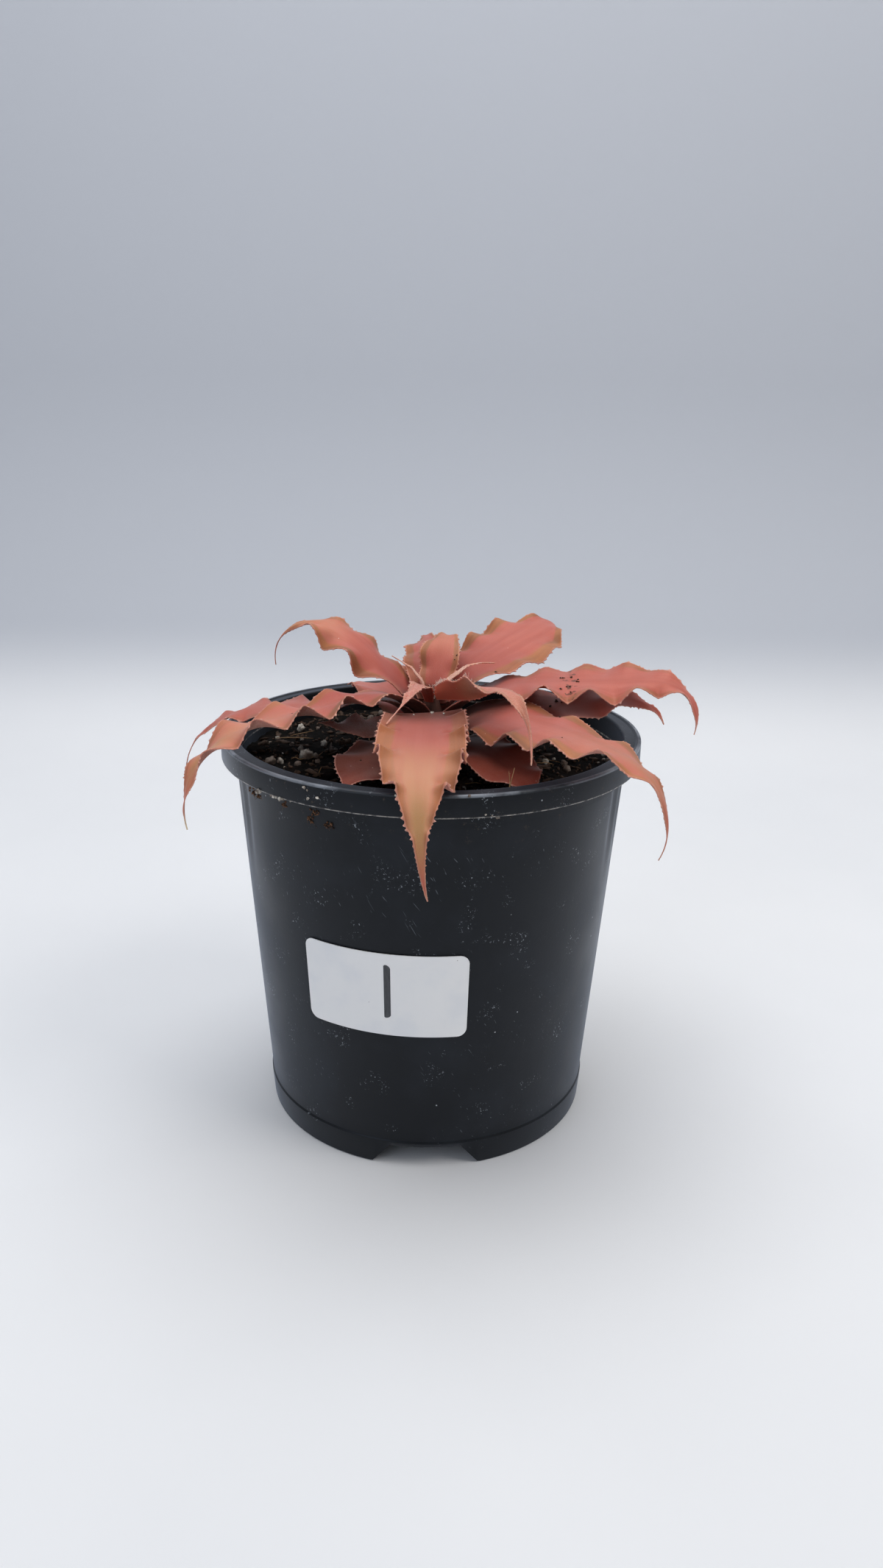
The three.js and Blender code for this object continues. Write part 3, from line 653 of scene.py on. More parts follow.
def through(values, x):
    """A smooth curve through evenly spaced values."""
    values = np.asarray(values, float)
    spans = len(values) - 1
    i = np.minimum((x * spans).astype(int), spans - 1)
    t = x * spans - i
    b = values[i]
    c = values[i + 1]
    a = np.where(i > 0, values[np.maximum(i - 1, 0)], 2 * b - c)
    d = np.where(i < spans - 1, values[np.minimum(i + 2, spans)], 2 * c - b)
    return 0.5 * (2 * b + (c - a) * t + (2 * a - 5 * b + 4 * c - d) * t**2 + (3 * b - a - 3 * c + d) * t**3)


def stalk(places, radius, sides=5, steps=9):
    """Points and faces of a thin round stalk through a few places, thinner at its ends."""
    places = np.asarray(places, float)
    t = np.linspace(0, 1, steps)
    path = np.stack([through(places[:, axis], t) for axis in range(3)], 1)
    ahead = np.gradient(path, axis=0)
    aside = np.cross(ahead, [0.31, 0.52, 0.8])
    aside /= np.linalg.norm(aside, axis=1, keepdims=True)
    over = np.cross(ahead, aside)
    over /= np.linalg.norm(over, axis=1, keepdims=True)
    thick = radius * (0.4 + 0.6 * np.sin(np.pi * t))[:, None]
    turn = np.linspace(0, 2 * np.pi, sides, endpoint=False)
    rings = [path + thick * (aside * math.cos(a) + over * math.sin(a)) for a in turn]
    faces = grid_faces(steps, sides, close_columns=True)
    faces.append(tuple(range(sides))[::-1])
    faces.append(tuple(range((steps - 1) * sides, steps * sides)))
    return np.stack(rings, 1).reshape(-1, 3), faces


def joined(parts):
    """One list of points and one of faces out of several parts' own."""
    points = []
    faces = []
    for part_points, part_faces in parts:
        start = len(points)
        points.extend(np.asarray(part_points).tolist())
        faces.extend([[start + i for i in face] for face in part_faces])
    return points, faces


print("points of a stalk:", len(stalk([(0, 0, 0), (0, 0, 9)], 0.2)[0]))

# %% Perlite, bark and dry stalks
LARGE_GRAINS = [
    (-52.5, -14, 1.5), (-49.5, -13.5, 1.3), (-41.5, -9, 1.9), (-38.5, -8, 1.2), (-54, 16, 1.0),
    (-47, 25, 1.4), (-48, 6.5, 0.9), (-37, 8, 1.0), (38, -10, 1.2), (44, -11, 1.1),
]
LYING_TWIG = [(-54, 9.8), (-48, 10.4), (-41, 10.5)]


def soil_places(count, inner=12.0, outer=61.0):
    for _ in range(count):
        radius = math.sqrt(RANDOM.uniform(inner**2, outer**2))
        a = RANDOM.uniform(0, 2 * math.pi)
        x = radius * math.cos(a)
        y = radius * math.sin(a)
        yield x, y, soil_height(x, y)


def make_perlite():
    parts = []
    for x, y, size in LARGE_GRAINS:
        sizes = size * RANDOM.uniform(0.8, 1.2, 3)
        parts.append(lump((x, y, soil_height(x, y) + 0.4 * size), sizes, 0.45, FINE))
    for x, y, z in soil_places(90):
        size = 0.4 + 1.2 * RANDOM.random() ** 2.5
        parts.append(lump((x, y, z + 0.2 * size), size * RANDOM.uniform(0.75, 1.2, 3), 0.45))
    return make_piece("perlite_grains", *joined(parts), PERLITE, slot="soil")


def make_bark():
    parts = []
    for x, y, z in soil_places(190):
        length = RANDOM.uniform(0.8, 2.6)
        parts.append(lump((x, y, z + 0.15), (length, 0.5 * length, 0.45), 1.3))
    for x, y, z in soil_places(900):
        size = RANDOM.uniform(0.25, 0.8)
        parts.append(lump((x, y, z + 0.3 * size), size * RANDOM.uniform(0.6, 1.3, 3), 0.8, CHIPPED))
    return make_piece("bark_bits", *joined(parts), BARK, slot="soil")


def make_straw():
    """Rootlets and twigs that lie on the mix, and two stalks that stand in it."""
    parts = []
    for x, y, z in soil_places(22):
        a = RANDOM.uniform(0, math.pi)
        length = RANDOM.uniform(4, 11)
        places = []
        for share in (-0.5, -0.2, 0.1, 0.5):
            px = x + share * length * math.cos(a) + RANDOM.uniform(-0.7, 0.7)
            py = y + share * length * math.sin(a) + RANDOM.uniform(-0.7, 0.7)
            inside = min(1, 61 / math.hypot(px, py))
            px *= inside
            py *= inside
            places.append((px, py, soil_height(px, py) + 0.3 + 0.6 * RANDOM.random()))
        parts.append(stalk(places, 0.13))
    parts.append(stalk([(x, y, soil_height(x, y) + 1.6) for x, y in LYING_TWIG], 0.2))
    parts.append(stalk([(22, -59.5, 124), (22.8, -59, 132), (24.2, -58.5, 139)], 0.16))
    parts.append(stalk([(22.6, -59.2, 131), (23, -58, 134), (22.7, -57, 137.5)], 0.1))
    parts.append(stalk([(-35.6, -28, 124), (-35.4, -28, 126.5), (-34.6, -28, 128.5)], 0.15))
    return make_piece("dry_straw", *joined(parts), STRAW, slot="soil")


for piece in (make_perlite(), make_bark(), make_straw()):
    print(piece.name, "faces:", len(piece.data.polygons))

# %% [markdown]
# Watering has washed a little mix over the rim. White grains hang under the band on the
# left, a pale chip and some dust stick to its face, and tufts of brown fibre have dried
# on below it. They could be drawn into the pot's colour, but they stand out from it and
# cast small shadows, so they are lumps and stalks too. Each is set by its angle round the
# pot, its height and its size.

# %% Crumbs on the pot


def dried_mix():
    material, tree, shader, place = start_material("dried_mix", {"Roughness": 0.85, "IOR": 1.45})
    patches = node(tree, "TexNoise", {"Vector": place, "Scale": spaced(1.2), "Detail": 4.0})
    dried = node(tree, "MapRange", {0: patches, 1: 0.4, 2: 0.65}, **SMOOTH)
    skin = node(tree, "Mix", {0: dried, 6: "#36241A", 7: "#7F5A3E"}, 2, **COLOURS)
    dress(tree, shader, skin, patches, 0.5, 0.1)
    return material


TUFT = dried_mix()
WHITE_CRUMBS = [
    (222.4, 126.9, 0.75), (227.4, 127, 0.3), (228.4, 126.9, 0.4), (229.3, 126.9, 0.3), (230.6, 127, 0.55),
    (231.6, 127, 0.4), (234.1, 127, 0.25), (239.6, 129.4, 0.4), (238.6, 132.6, 0.4), (239.4, 131.8, 0.3),
    (287.4, 125.4, 0.8), (283, 128, 0.3), (284.6, 127.6, 0.25), (262, 133.9, 0.35), (279, 133.9, 0.4),
]
CHIP = (242.3, 130.2, 0.9)
TUFTS = [
    (218, 126.3, 2.4), (221, 125.6, 1.6), (231.5, 126, 1.4), (236.3, 121.6, 1.8), (238.6, 124, 1.5),
    (242.5, 121.2, 2.0),
]
SKIRT_INSIDE = 69.4


def on_pot(angle, height, off):
    """A place this far out of the pot's wall, or of its band."""
    a = math.radians(angle)
    radius = off + (RIM_RADIUS if height > BAND_BOTTOM - 0.2 else wall_radius(height))
    return np.array([radius * math.cos(a), radius * math.sin(a), height])


def make_crumbs():
    parts = [lump(on_pot(angle, z, 0.3 * size), size * RANDOM.uniform(0.7, 1.2, 3), 0.8)
             for angle, z, size in WHITE_CRUMBS]
    angle, z, size = CHIP
    parts.append(lump(on_pot(angle, z, 0.2), (size, 0.35 * size, 0.5 * size), 0.5))
    return make_piece("pot_crumbs", *joined(parts), PERLITE, slot="pot")


def make_tufts():
    """Crumbs of bark held together by a few fibres."""
    parts = []
    for angle, z, size in TUFTS:
        hanging = z > BAND_BOTTOM - 2
        for _ in range(12):
            turned = angle + size * RANDOM.normal() * 0.45
            lowered = z - size * RANDOM.random()
            off = RANDOM.uniform(-0.6, 0.1) + SKIRT_INSIDE - wall_radius(lowered) if hanging else 0.1
            place = on_pot(turned, lowered, off)
            parts.append(lump(place, RANDOM.uniform(0.1, 0.45, 3), 1.2))
            end = place + RANDOM.normal(size=3) * (0.6, 0.6, 0.8)
            end[:2] *= max(1, np.hypot(place[0], place[1]) / np.hypot(end[0], end[1]))
            middle = (place + end) / 2 + RANDOM.normal(size=3) * 0.15
            parts.append(stalk([place, middle, end], 0.06, sides=3, steps=5))
    return make_piece("pot_tufts", *joined(parts), TUFT, slot="pot")


for piece in (make_crumbs(), make_tufts()):
    print(piece.name, "faces:", len(piece.data.polygons))

# %% [markdown]
# ## Leaf tissue
#
# An earth star's leaf is thin, stiff and a little succulent. Its upper face is smooth
# and waxy: rose at the root, salmon further out, and tan where the margins fold up and
# down. Leaves that hang longest bleach to peach and olive along the middle. The lowest
# ones lie in the shade and get a red-brown painted shade, and the roots by the stem get
# red-brown painted shade too, with a dark painted shadow. The lower face and the young
# leaves are dusted with grey scales called trichomes. They are under 0.2 mm wide and are
# drawn at 0.32 mm, so that they show. The wax is satin rather than glossy, so its
# highlights are broad and take on the tissue's colour, and thin blades let some light
# through, which the shader's subsurface stands for.
#
# The colours could be painted on each leaf. Here the blade's own measures drive them:
# each point of a blade carries its place along and across the leaf and its distance
# from the margin as attributes, so the pattern follows every fold.

# %% Leaf material
LEAF_FACTS = (
    "along", "across", "leaf", "edge", "tip", "top", "tan", "bleach", "shade", "deep", "ember", "dirt",
    "scurf", "tooth", "dry",
)


def leaf_tissue():
    material, tree, shader, _ = start_material("bromeliad_leaf", {
        "IOR": 1.45,
        "Subsurface Weight": 0.25,
        "Subsurface Radius": (1.0, 0.35, 0.2),
        "Subsurface Scale": 1.5 * MM,
        "Specular IOR Level": 0.35,
        "Specular Tint": colour("#FFC4AE"),
        "Sheen Weight": 0.2,
        "Sheen Roughness": 0.3,
        "Sheen Tint": colour("#FFD2C2"),
    })
    facts = {name: node(tree, "Attribute", out="Fac", attribute_name=name) for name in LEAF_FACTS}
    flat = node(tree, "CombineXYZ", {"X": facts["along"], "Y": facts["across"], "Z": facts["leaf"]})
    drawn = node(tree, "VectorMath", {0: flat, 1: (0.05, 1.0, 1.0)}, **TIMES)
    veins = node(tree, "TexNoise", {"Vector": drawn, "Scale": spaced(0.7), "Detail": 3.0})
    streaks = node(tree, "TexNoise", {"Vector": drawn, "Scale": spaced(4), "Detail": 2.0})
    cloud = node(tree, "TexNoise", {"Vector": flat, "Scale": spaced(9), "Detail": 4.0})
    flecks = node(tree, "TexNoise", {"Vector": flat, "Scale": spaced(0.32), "Detail": 2.0, "Roughness": 0.6})

    # upper face: rose at the root, salmon further out, in soft lengthwise streaks
    clouded = node(tree, "Math", {0: cloud, 1: 0.2}, **TIMES)
    outward = node(tree, "Math", {0: facts["tip"], 1: clouded}, **PLUS)
    outward = node(tree, "MapRange", {0: outward, 1: 0.2, 2: 0.6}, **SMOOTH)
    skin = node(tree, "Mix", {0: outward, 6: "#B75C56", 7: "#C06A5C"}, 2, **COLOURS)
    streaked = node(tree, "MapRange", {0: streaks, 1: 0.4, 2: 0.65, 4: 0.5}, **SMOOTH)
    skin = node(tree, "Mix", {0: streaked, 6: skin, 7: "#AE5446"}, 2, **COLOURS)
    veined = node(tree, "MapRange", {0: veins, 1: 0.5, 2: 0.75, 4: 0.2}, **SMOOTH)
    skin = node(tree, "Mix", {0: veined, 6: skin, 7: "#A5574A"}, 2, **COLOURS)

    # tan, folded margins, then a bleached middle that is olive along the midrib
    wander = node(tree, "MapRange", {0: cloud, 1: 0.3, 2: 0.7, 3: -0.25, 4: 0.1}, **SMOOTH)
    wander = node(tree, "Math", {0: facts["tan"], 1: wander}, **PLUS)
    wander = node(tree, "MapRange", {0: wander, 1: 0.1, 2: 0.7, 4: 0.95}, **SMOOTH)
    tanned = node(tree, "MapRange", {0: streaks, 1: 0.35, 2: 0.6}, **SMOOTH)
    tanned = node(tree, "Mix", {0: tanned, 6: "#B07249", 7: "#926041"}, 2, **COLOURS)
    skin = node(tree, "Mix", {0: wander, 6: skin, 7: tanned}, 2, **COLOURS)
    bleached = node(tree, "MapRange", {0: streaks, 1: 0.3, 2: 0.6, 3: 0.7, 4: 1.0}, **SMOOTH)
    bleached = node(tree, "Math", {0: facts["bleach"], 1: bleached}, **TIMES)
    skin = node(tree, "Mix", {0: bleached, 6: skin, 7: "#CF9573"}, 2, **COLOURS)
    aside = node(tree, "Math", {0: facts["across"]}, operation="ABSOLUTE")
    middle = node(tree, "MapRange", {0: aside, 1: 4 * MM, 2: 0.5 * MM}, **SMOOTH)
    middle = node(tree, "Math", {0: middle, 1: facts["bleach"]}, **TIMES)
    olive = node(tree, "MapRange", {0: facts["tip"], 1: 0.62, 2: 0.78, 4: 0.6}, **SMOOTH)
    olive = node(tree, "Math", {0: middle, 1: olive}, **TIMES)
    skin = node(tree, "Mix", {0: olive, 6: skin, 7: "#A08A52"}, 2, **COLOURS)

    # lower face: grey scales over dull pink
    scaly = node(tree, "MapRange", {0: flecks, 1: 0.42, 2: 0.6, 3: 0.15, 4: 0.6}, **SMOOTH)
    lower = node(tree, "Mix", {0: scaly, 6: "#9C5C4E", 7: "#B8968A"}, 2, **COLOURS)
    skin = node(tree, "Mix", {0: facts["top"], 6: lower, 7: skin}, 2, **COLOURS)

    # painted shade: red-brown on leaves in shadow and towards their roots, a dark painted shadow at the root,
    # and a painted red glow where light shines through a root
    skin = node(tree, "Mix", {0: facts["shade"], 6: skin, 7: "#8A3D2E"}, 2, **COLOURS)
    skin = node(tree, "Mix", {0: facts["deep"], 6: skin, 7: "#2B120F"}, 2, **COLOURS)
    glow = node(tree, "MapRange", {0: facts["tip"], 1: 0.15, 2: 0.4}, **SMOOTH)
    glow = node(tree, "Mix", {0: glow, 6: "#C4624A", 7: "#B98660"}, 2, **COLOURS)
    skin = node(tree, "Mix", {0: facts["ember"], 6: skin, 7: glow}, 2, **COLOURS)

    # scales that dust the young leaves, and dust on all of them
    scales = node(tree, "MapRange", {0: flecks, 1: 0.4, 2: 0.66, 3: 0.15, 4: 0.9}, **SMOOTH)
    scales = node(tree, "Math", {0: facts["scurf"], 1: scales}, **TIMES)
    skin = node(tree, "Mix", {0: scales, 6: skin, 7: "#DDBBA9"}, 2, **COLOURS)
    dust = specks(tree, flat, 2.2, 0.12, 0.17)
    skin = node(tree, "Mix", {0: dust, 6: skin, 7: "#E9D9CF"}, 2, **COLOURS)

    # dried splashes of potting mix
    spread = node(tree, "TexNoise", {"Vector": flat, "Scale": spaced(2.4), "Detail": 4.0, "Roughness": 0.6})
    splash = node(tree, "MapRange", {0: facts["dirt"], 3: -0.8, 4: -0.53}, **SMOOTH)
    grime = node(tree, "Math", {0: spread, 1: splash}, **PLUS)
    grime = node(tree, "MapRange", {0: grime, 1: 0.0, 2: 0.05, 4: 0.75}, **SMOOTH)
    skin = node(tree, "Mix", {0: grime, 6: skin, 7: "#3F3326"}, 2, **COLOURS)

    # a pale hem, pale teeth and a dry tip
    hem = node(tree, "MapRange", {0: facts["edge"], 1: 0.4 * MM, 2: 0.1 * MM, 4: 0.45}, **SMOOTH)
    skin = node(tree, "Mix", {0: hem, 6: skin, 7: "#DDA090"}, 2, **COLOURS)
    tooth = node(tree, "MapRange", {0: facts["tooth"], 1: 0.1, 2: 0.6, 4: 0.9}, **SMOOTH)
    skin = node(tree, "Mix", {0: tooth, 6: skin, 7: "#E3AC9E"}, 2, **COLOURS)
    skin = node(tree, "Mix", {0: facts["dry"], 6: skin, 7: "#D8C2A4"}, 2, **COLOURS)

    furrows = node(tree, "Math", {0: streaks, 1: 2.0}, **TIMES)
    dress(tree, shader, skin, node(tree, "Math", {0: flecks, 1: furrows}, **PLUS), 0.25, 0.1)

    # the upper face is waxy and the lower face dull, and scales make either duller
    rough = node(tree, "MapRange", {0: facts["top"], 3: 0.65, 4: 0.38}, **SMOOTH)
    furry = node(tree, "Math", {0: facts["scurf"], 1: 0.2}, **TIMES)
    uneven = node(tree, "MapRange", {0: cloud, 1: 0.3, 2: 0.7, 3: -0.04, 4: 0.06}, **SMOOTH)
    for change in (furry, uneven):
        rough = node(tree, "Math", {0: rough, 1: change}, **PLUS)
    tree.links.new(rough, shader.inputs["Roughness"])
    return material


LEAF = leaf_tissue()
print("leaf nodes:", len(LEAF.node_tree.nodes))

# %% [markdown]
# ## Leaf shapes
#
# Every leaf follows the same rule with its own measures. Its midrib climbs away from
# the stem, arches over and hangs. The blade widens from the root, narrows to a point
# and waves along both margins, each with its own rhythm. The rows run roughly from the
# lowest and oldest leaf to the youngest in the heart, and they are the plant's measures,
# in millimetres and degrees. The leaves could be modelled one by one, but one rule keeps
# them alike, and each is fitted to the plant by its numbers alone.
#
# - heading: the way it points, 270 towards the front
# - height: where it leaves the stem
# - climb: the midrib's slope at five even steps
# - bend: how far it curves sideways
# - shoulder: where along the leaf it has narrowed to half
# - left and right: the waves of each margin, as number, start and height
# - skew: how far the waves lean
# - roll and twist: the turn about the midrib at the root, and added by the tip
# - cup: how far the blade curls up, or down, across its width
# - flare: the sideways share of the waves

# %% Leaf table
LEAVES = [
    dict(
        heading=248, height=127.5, length=57, climb=[38, 11, 2, -5, -19],
        bend=-6, width=28, shoulder=0.86,
        left=[3.2, 0.12, 1.2], right=[3.1, 0.11, 0.9],
        skew=0.3, roll=-1, twist=7, cup=0.02, flare=0,
    ),
    dict(
        heading=299, height=129, length=58, climb=[42, 11, -6, -12, -15],
        bend=0, width=23, shoulder=0.92,
        left=[3.3, 0.33, 1.1], right=[3.2, 0.3, 1.2],
        skew=0.3, roll=-2, twist=5, cup=0.06, flare=0.2,
    ),
    dict(
        heading=192, height=129.8, length=32, climb=[35, 20, 0, 12, 6],
        bend=-11, width=20.5, shoulder=0.76,
        left=[3, 0.27, 0.4], right=[3.2, 0.3, 1.2],
        skew=0.3, roll=2, twist=-10, cup=0.07, flare=0.2,
    ),
    dict(
        heading=124, height=130.5, length=52, climb=[45, 18, 6, -5, -20],
        bend=0, width=20, shoulder=0.74,
        left=[3.2, 0.3, 1.3], right=[3.2, 0.3, 1.3],
        skew=0.3, roll=2, twist=0, cup=0.1, flare=0.2,
    ),
    dict(
        heading=353, height=130.9, length=77, climb=[44, 13, 10, 4, -67],
        bend=9, width=24, shoulder=0.77,
        left=[5.2, 0.25, 2.2], right=[5, 0.49, 1.7],
        skew=0.5, roll=3, twist=19, cup=0.09, flare=0.4,
    ),
    dict(
        heading=88, height=132.3, length=89, climb=[45, 11, 2, -7, -59],
        bend=0, width=23, shoulder=0.72,
        left=[5, 0.3, 2], right=[5, 0.3, 2],
        skew=0.3, roll=-2, twist=0, cup=0.1, flare=0.2,
    ),
    dict(
        heading=313, height=132.9, length=116, climb=[45, 6, -1, -20, -113],
        bend=-11, width=31, shoulder=0.72,
        left=[5.1, 0.15, 1.8], right=[7.2, 0.31, 2.1],
        skew=0.4, roll=21, twist=-51, cup=-0.09, flare=-0.2,
    ),
    dict(
        heading=266, height=134.6, length=107, climb=[53, -1, -9, -40, -120],
        bend=9, width=26.5, shoulder=0.7,
        left=[7.2, 0.25, 3.7], right=[7, 0.34, 2.6],
        skew=0.8, roll=9, twist=-27, cup=0.11, flare=-0.2,
    ),
    dict(
        heading=181, height=134.8, length=92, climb=[66, -7, -4, -26, -81],
        bend=-5, width=23, shoulder=0.72,
        left=[6, 0.87, 1.3], right=[7.2, 0.78, 1.4],
        skew=0.6, roll=11, twist=-16, cup=-0.04, flare=0.3,
    ),
    dict(
        heading=215, height=137.5, length=109, climb=[60, -4, -2, -24, -96],
        bend=22, width=22, shoulder=0.77,
        left=[6.6, 0.95, 2.7], right=[5.6, 0.56, 2.5],
        skew=0.05, roll=5, twist=8, cup=0.12, flare=-0.3,
    ),
    dict(
        heading=355, height=137, length=97, climb=[54, 11, 3, -1, -111],
        bend=-22, width=25.5, shoulder=0.77,
        left=[7.3, 0.54, 1.2], right=[6.3, 0.86, 2.9],
        skew=0, roll=-10, twist=36, cup=0.06, flare=0.1,
    ),
    dict(
        heading=157, height=138.5, length=75, climb=[53, 42, 26, -22, -101],
        bend=2, width=20, shoulder=0.62,
        left=[4, 0.58, 3.7], right=[5.8, 0.83, 1.3],
        skew=0.2, roll=12, twist=-46, cup=-0.2, flare=0.2,
    ),
    dict(
        heading=45, height=141.5, length=87, climb=[48, 19, 10, -1, -69],
        bend=28, width=31, shoulder=0.73,
        left=[5.9, 0.7, 2.2], right=[4.9, 0.62, 1.5],
        skew=0.1, roll=-6, twist=30, cup=-0.09, flare=0,
    ),
    dict(
        heading=93, height=142.6, length=52, climb=[52, 35, 4, 5, -31],
        bend=0, width=17, shoulder=0.71,
        left=[3.8, 0.94, 1.1], right=[3.9, 0.96, 1.6],
        skew=0.3, roll=-7, twist=-8, cup=0.03, flare=0.3,
    ),
    dict(
        heading=297.5, height=146.5, length=81, climb=[20, 13, 13, -20, -66],
        bend=-16.5, width=8.4, shoulder=0.69,
        left=[2.6, 0.18, 1.1], right=[3.1, 0.13, 1.6],
        skew=0.2, roll=-90, twist=155, cup=0.05, flare=0.3,
    ),
    dict(
        heading=77, height=144.2, length=32, climb=[64, 52, 49, 9, -38],
        bend=-3, width=12.5, shoulder=0.8,
        left=[2.5, 0.01, 1.1], right=[2.5, 0.15, 0.8],
        skew=0.3, roll=1, twist=2, cup=0.08, flare=0.5,
    ),
    dict(
        heading=252, height=143.7, length=41, climb=[70, 22, -15, -13, -19],
        bend=-6, width=7.5, shoulder=0.54,
        left=[2.5, 0.05, 0.8], right=[2.6, 0.61, 1.3],
        skew=0.2, roll=-1, twist=-5, cup=0.05, flare=0.4,
    ),
    dict(
        heading=171, height=146.3, length=17, climb=[80, 62, 40, 31, 26],
        bend=0, width=6, shoulder=0.55,
        left=[2, 1, 0.3], right=[2, 1, 0.3],
        skew=0.3, roll=2, twist=0, cup=0.1, flare=0.3,
    ),
    dict(
        heading=18, height=145.9, length=23, climb=[65, 41, 27, 6, -10],
        bend=-1, width=5.5, shoulder=0.55,
        left=[2, 0.98, 0.3], right=[2, 0, 0.3],
        skew=0.3, roll=5, twist=2, cup=0.12, flare=0.3,
    ),
]

print("leaves:", len(LEAVES))

# %% [markdown]
# Some leaves have more to tell. A leaf can be flat in the middle and fold only near its
# margins, or be pleated right to its midrib. It can be bleached, lie in the shade, be
# dusted with scales or carry dirt.
#
# - hinge: the share of its half width that stays flat
# - pinch: how sharp the crests of the folds are
# - tan and brim: how tan its margins are, and the share of its half width where that starts
# - bleach, shade, scurf, dirt, dry: how strongly, from 0 to 1; scales cover all of it at 2
# - root: how much red-brown painted shade its root carries
# - deep: up to where along it a dark painted shadow covers the root
# - bare: up to where along it there are no scales
# - ember: up to where along it light shining through makes it glow red
# - width: its width, where the real blade is too thin for the solid model

# %% Facts of single leaves
USUAL = dict(
    hinge=0.25, pinch=0.6, tan=0.5, brim=0.62, bleach=0, shade=0, scurf=0.06, dirt=0, dry=0.2,
    root=0.5, deep=0.14, bare=0, ember=0,
)
FACTS = {
    1: dict(shade=0.9, hinge=0.3, tan=0.2, deep=1.1),
    2: dict(shade=0.7, tan=0, deep=0.4),
    3: dict(scurf=0.6, tan=0, root=0, deep=0),
    5: dict(hinge=0.1, tan=0.1, root=0, deep=0),
    7: dict(hinge=0.3, bleach=0.3, tan=0.7, deep=0.28),
    8: dict(hinge=0.45, bleach=1, shade=0.15, pinch=0.75, tan=1.1, brim=0.55, root=0.9, deep=0.33),
    9: dict(hinge=0.1, pinch=0.85, shade=0.25, tan=0.4),
    10: dict(hinge=0.02, pinch=0.9, tan=0.6, dry=1, bleach=0.6),
    11: dict(dirt=1, hinge=0.2, tan=0.5, pinch=0.9),
    12: dict(hinge=0.3, bleach=0.5, tan=0.9),
    13: dict(hinge=0.35, pinch=0.8, tan=1.3, brim=0.64),
    14: dict(hinge=0.2, tan=1, brim=0.55, shade=0.2),
    15: dict(hinge=0.1, scurf=0.4, bleach=0.2, tan=0.7, root=0, deep=0, bare=0.45, ember=0.5),
    16: dict(hinge=0.2, bleach=0.25, tan=0.9, brim=0.6, scurf=0.1),
    17: dict(hinge=0.1, scurf=0.7, deep=0, bare=0.2, root=0.9, width=5.5),
    18: dict(scurf=2, root=0, deep=0, width=2.4),
    19: dict(scurf=2, root=0, deep=0, width=2.2),
}
for number, leaf in enumerate(LEAVES, 1):
    leaf.update(USUAL)
    leaf.update(FACTS.get(number, {}))
print("bleached leaves:", [n for n, leaf in enumerate(LEAVES, 1) if leaf["bleach"] > 0])

# %% [markdown]
# A blade could be bent out of a plane with curve and wave modifiers, but it would be hard
# to keep to its measures. Here it is a grid of stations along and columns across. Each
# station has its own directions: ahead along the midrib, left across the blade, and up
# out of its face. The two faces are the middle of the blade moved half its thickness to
# either side, and each point is told how far along, across and near the margin it is.

# %% Midrib
STEM_CONE_BOTTOM = 127.5
STEM_TOP = 147.0
STEM_FOOT_RADIUS = 7.2
STEM_TOP_RADIUS = 1.4
ROOT_STANDOFF = 0.8


def stem_radius(z):
    share = np.clip((z - STEM_CONE_BOTTOM) / (STEM_TOP - STEM_CONE_BOTTOM), 0, 1)
    return STEM_FOOT_RADIUS + (STEM_TOP_RADIUS - STEM_FOOT_RADIUS) * share


def directions(leaf, s):
    """The midrib's slope and the directions ahead, left and up at stations s."""
    slope = np.radians(through(leaf["climb"], s))[:, None]
    heading = math.radians(leaf["heading"])
    bend = math.radians(leaf["bend"]) * s[:, None] ** 2
    level = np.array([[math.cos(heading), math.sin(heading), 0.0]])
    aside = np.array([[-math.sin(heading), math.cos(heading), 0.0]])
    straight = np.cos(slope) * level + np.sin(slope) * np.array([[0.0, 0.0, 1.0]])
    ahead = straight * np.cos(bend) + aside * np.sin(bend)
    left = aside * np.cos(bend) - straight * np.sin(bend)
    return slope, ahead, left, np.cross(ahead, left)


def midrib(leaf, s):
    _, ahead, _, _ = directions(leaf, s)
    heading = math.radians(leaf["heading"])
    radius = stem_radius(leaf["height"]) + ROOT_STANDOFF
    root = np.array([radius * math.cos(heading), radius * math.sin(heading), leaf["height"]])
    steps = (ahead[1:] + ahead[:-1]) / 2 * np.diff(s)[:, None] * leaf["length"]
    return root + np.vstack([np.zeros(3), np.cumsum(steps, 0)])


print("the front leaf's tip:", midrib(LEAVES[7], np.linspace(0, 1, 99))[-1].round(1))

# %% Width, waves and teeth
ROOT_SHARE = 0.5
TIP_HALF_WIDTH = 0.15


def half_width(leaf, s):
    opening = ROOT_SHARE + (1 - ROOT_SHARE) * np.sin(np.clip(s / 0.35, 0, 1) * np.pi / 2)
    narrowing = 1 / (1 + (s / leaf["shoulder"]) ** 10)
    return 0.5 * leaf["width"] * opening * narrowing * (1 - s**14) + TIP_HALF_WIDTH


def wave_lift(leaf, s, v, half):
    on_left = v >= 0
    number, start, height = [np.where(on_left, a, b) for a, b in zip(leaf["left"], leaf["right"])]
    grown = smoothstep(s, 0.1, 0.35) * np.minimum(1, half / (0.275 * leaf["width"]))
    turn = 2 * np.pi * (number * s + start) - 0.5 * (np.abs(v) ** 1.5 - 1)
    swing = np.sin(turn + leaf["skew"] * np.sin(turn))
    pinch = leaf["pinch"]
    folded = np.arcsin(pinch * swing) / math.asin(pinch)
    fold = np.clip((np.abs(v) - leaf["hinge"]) / (1 - leaf["hinge"]), 0, 1) ** 1.2
    return height * grown * fold * folded


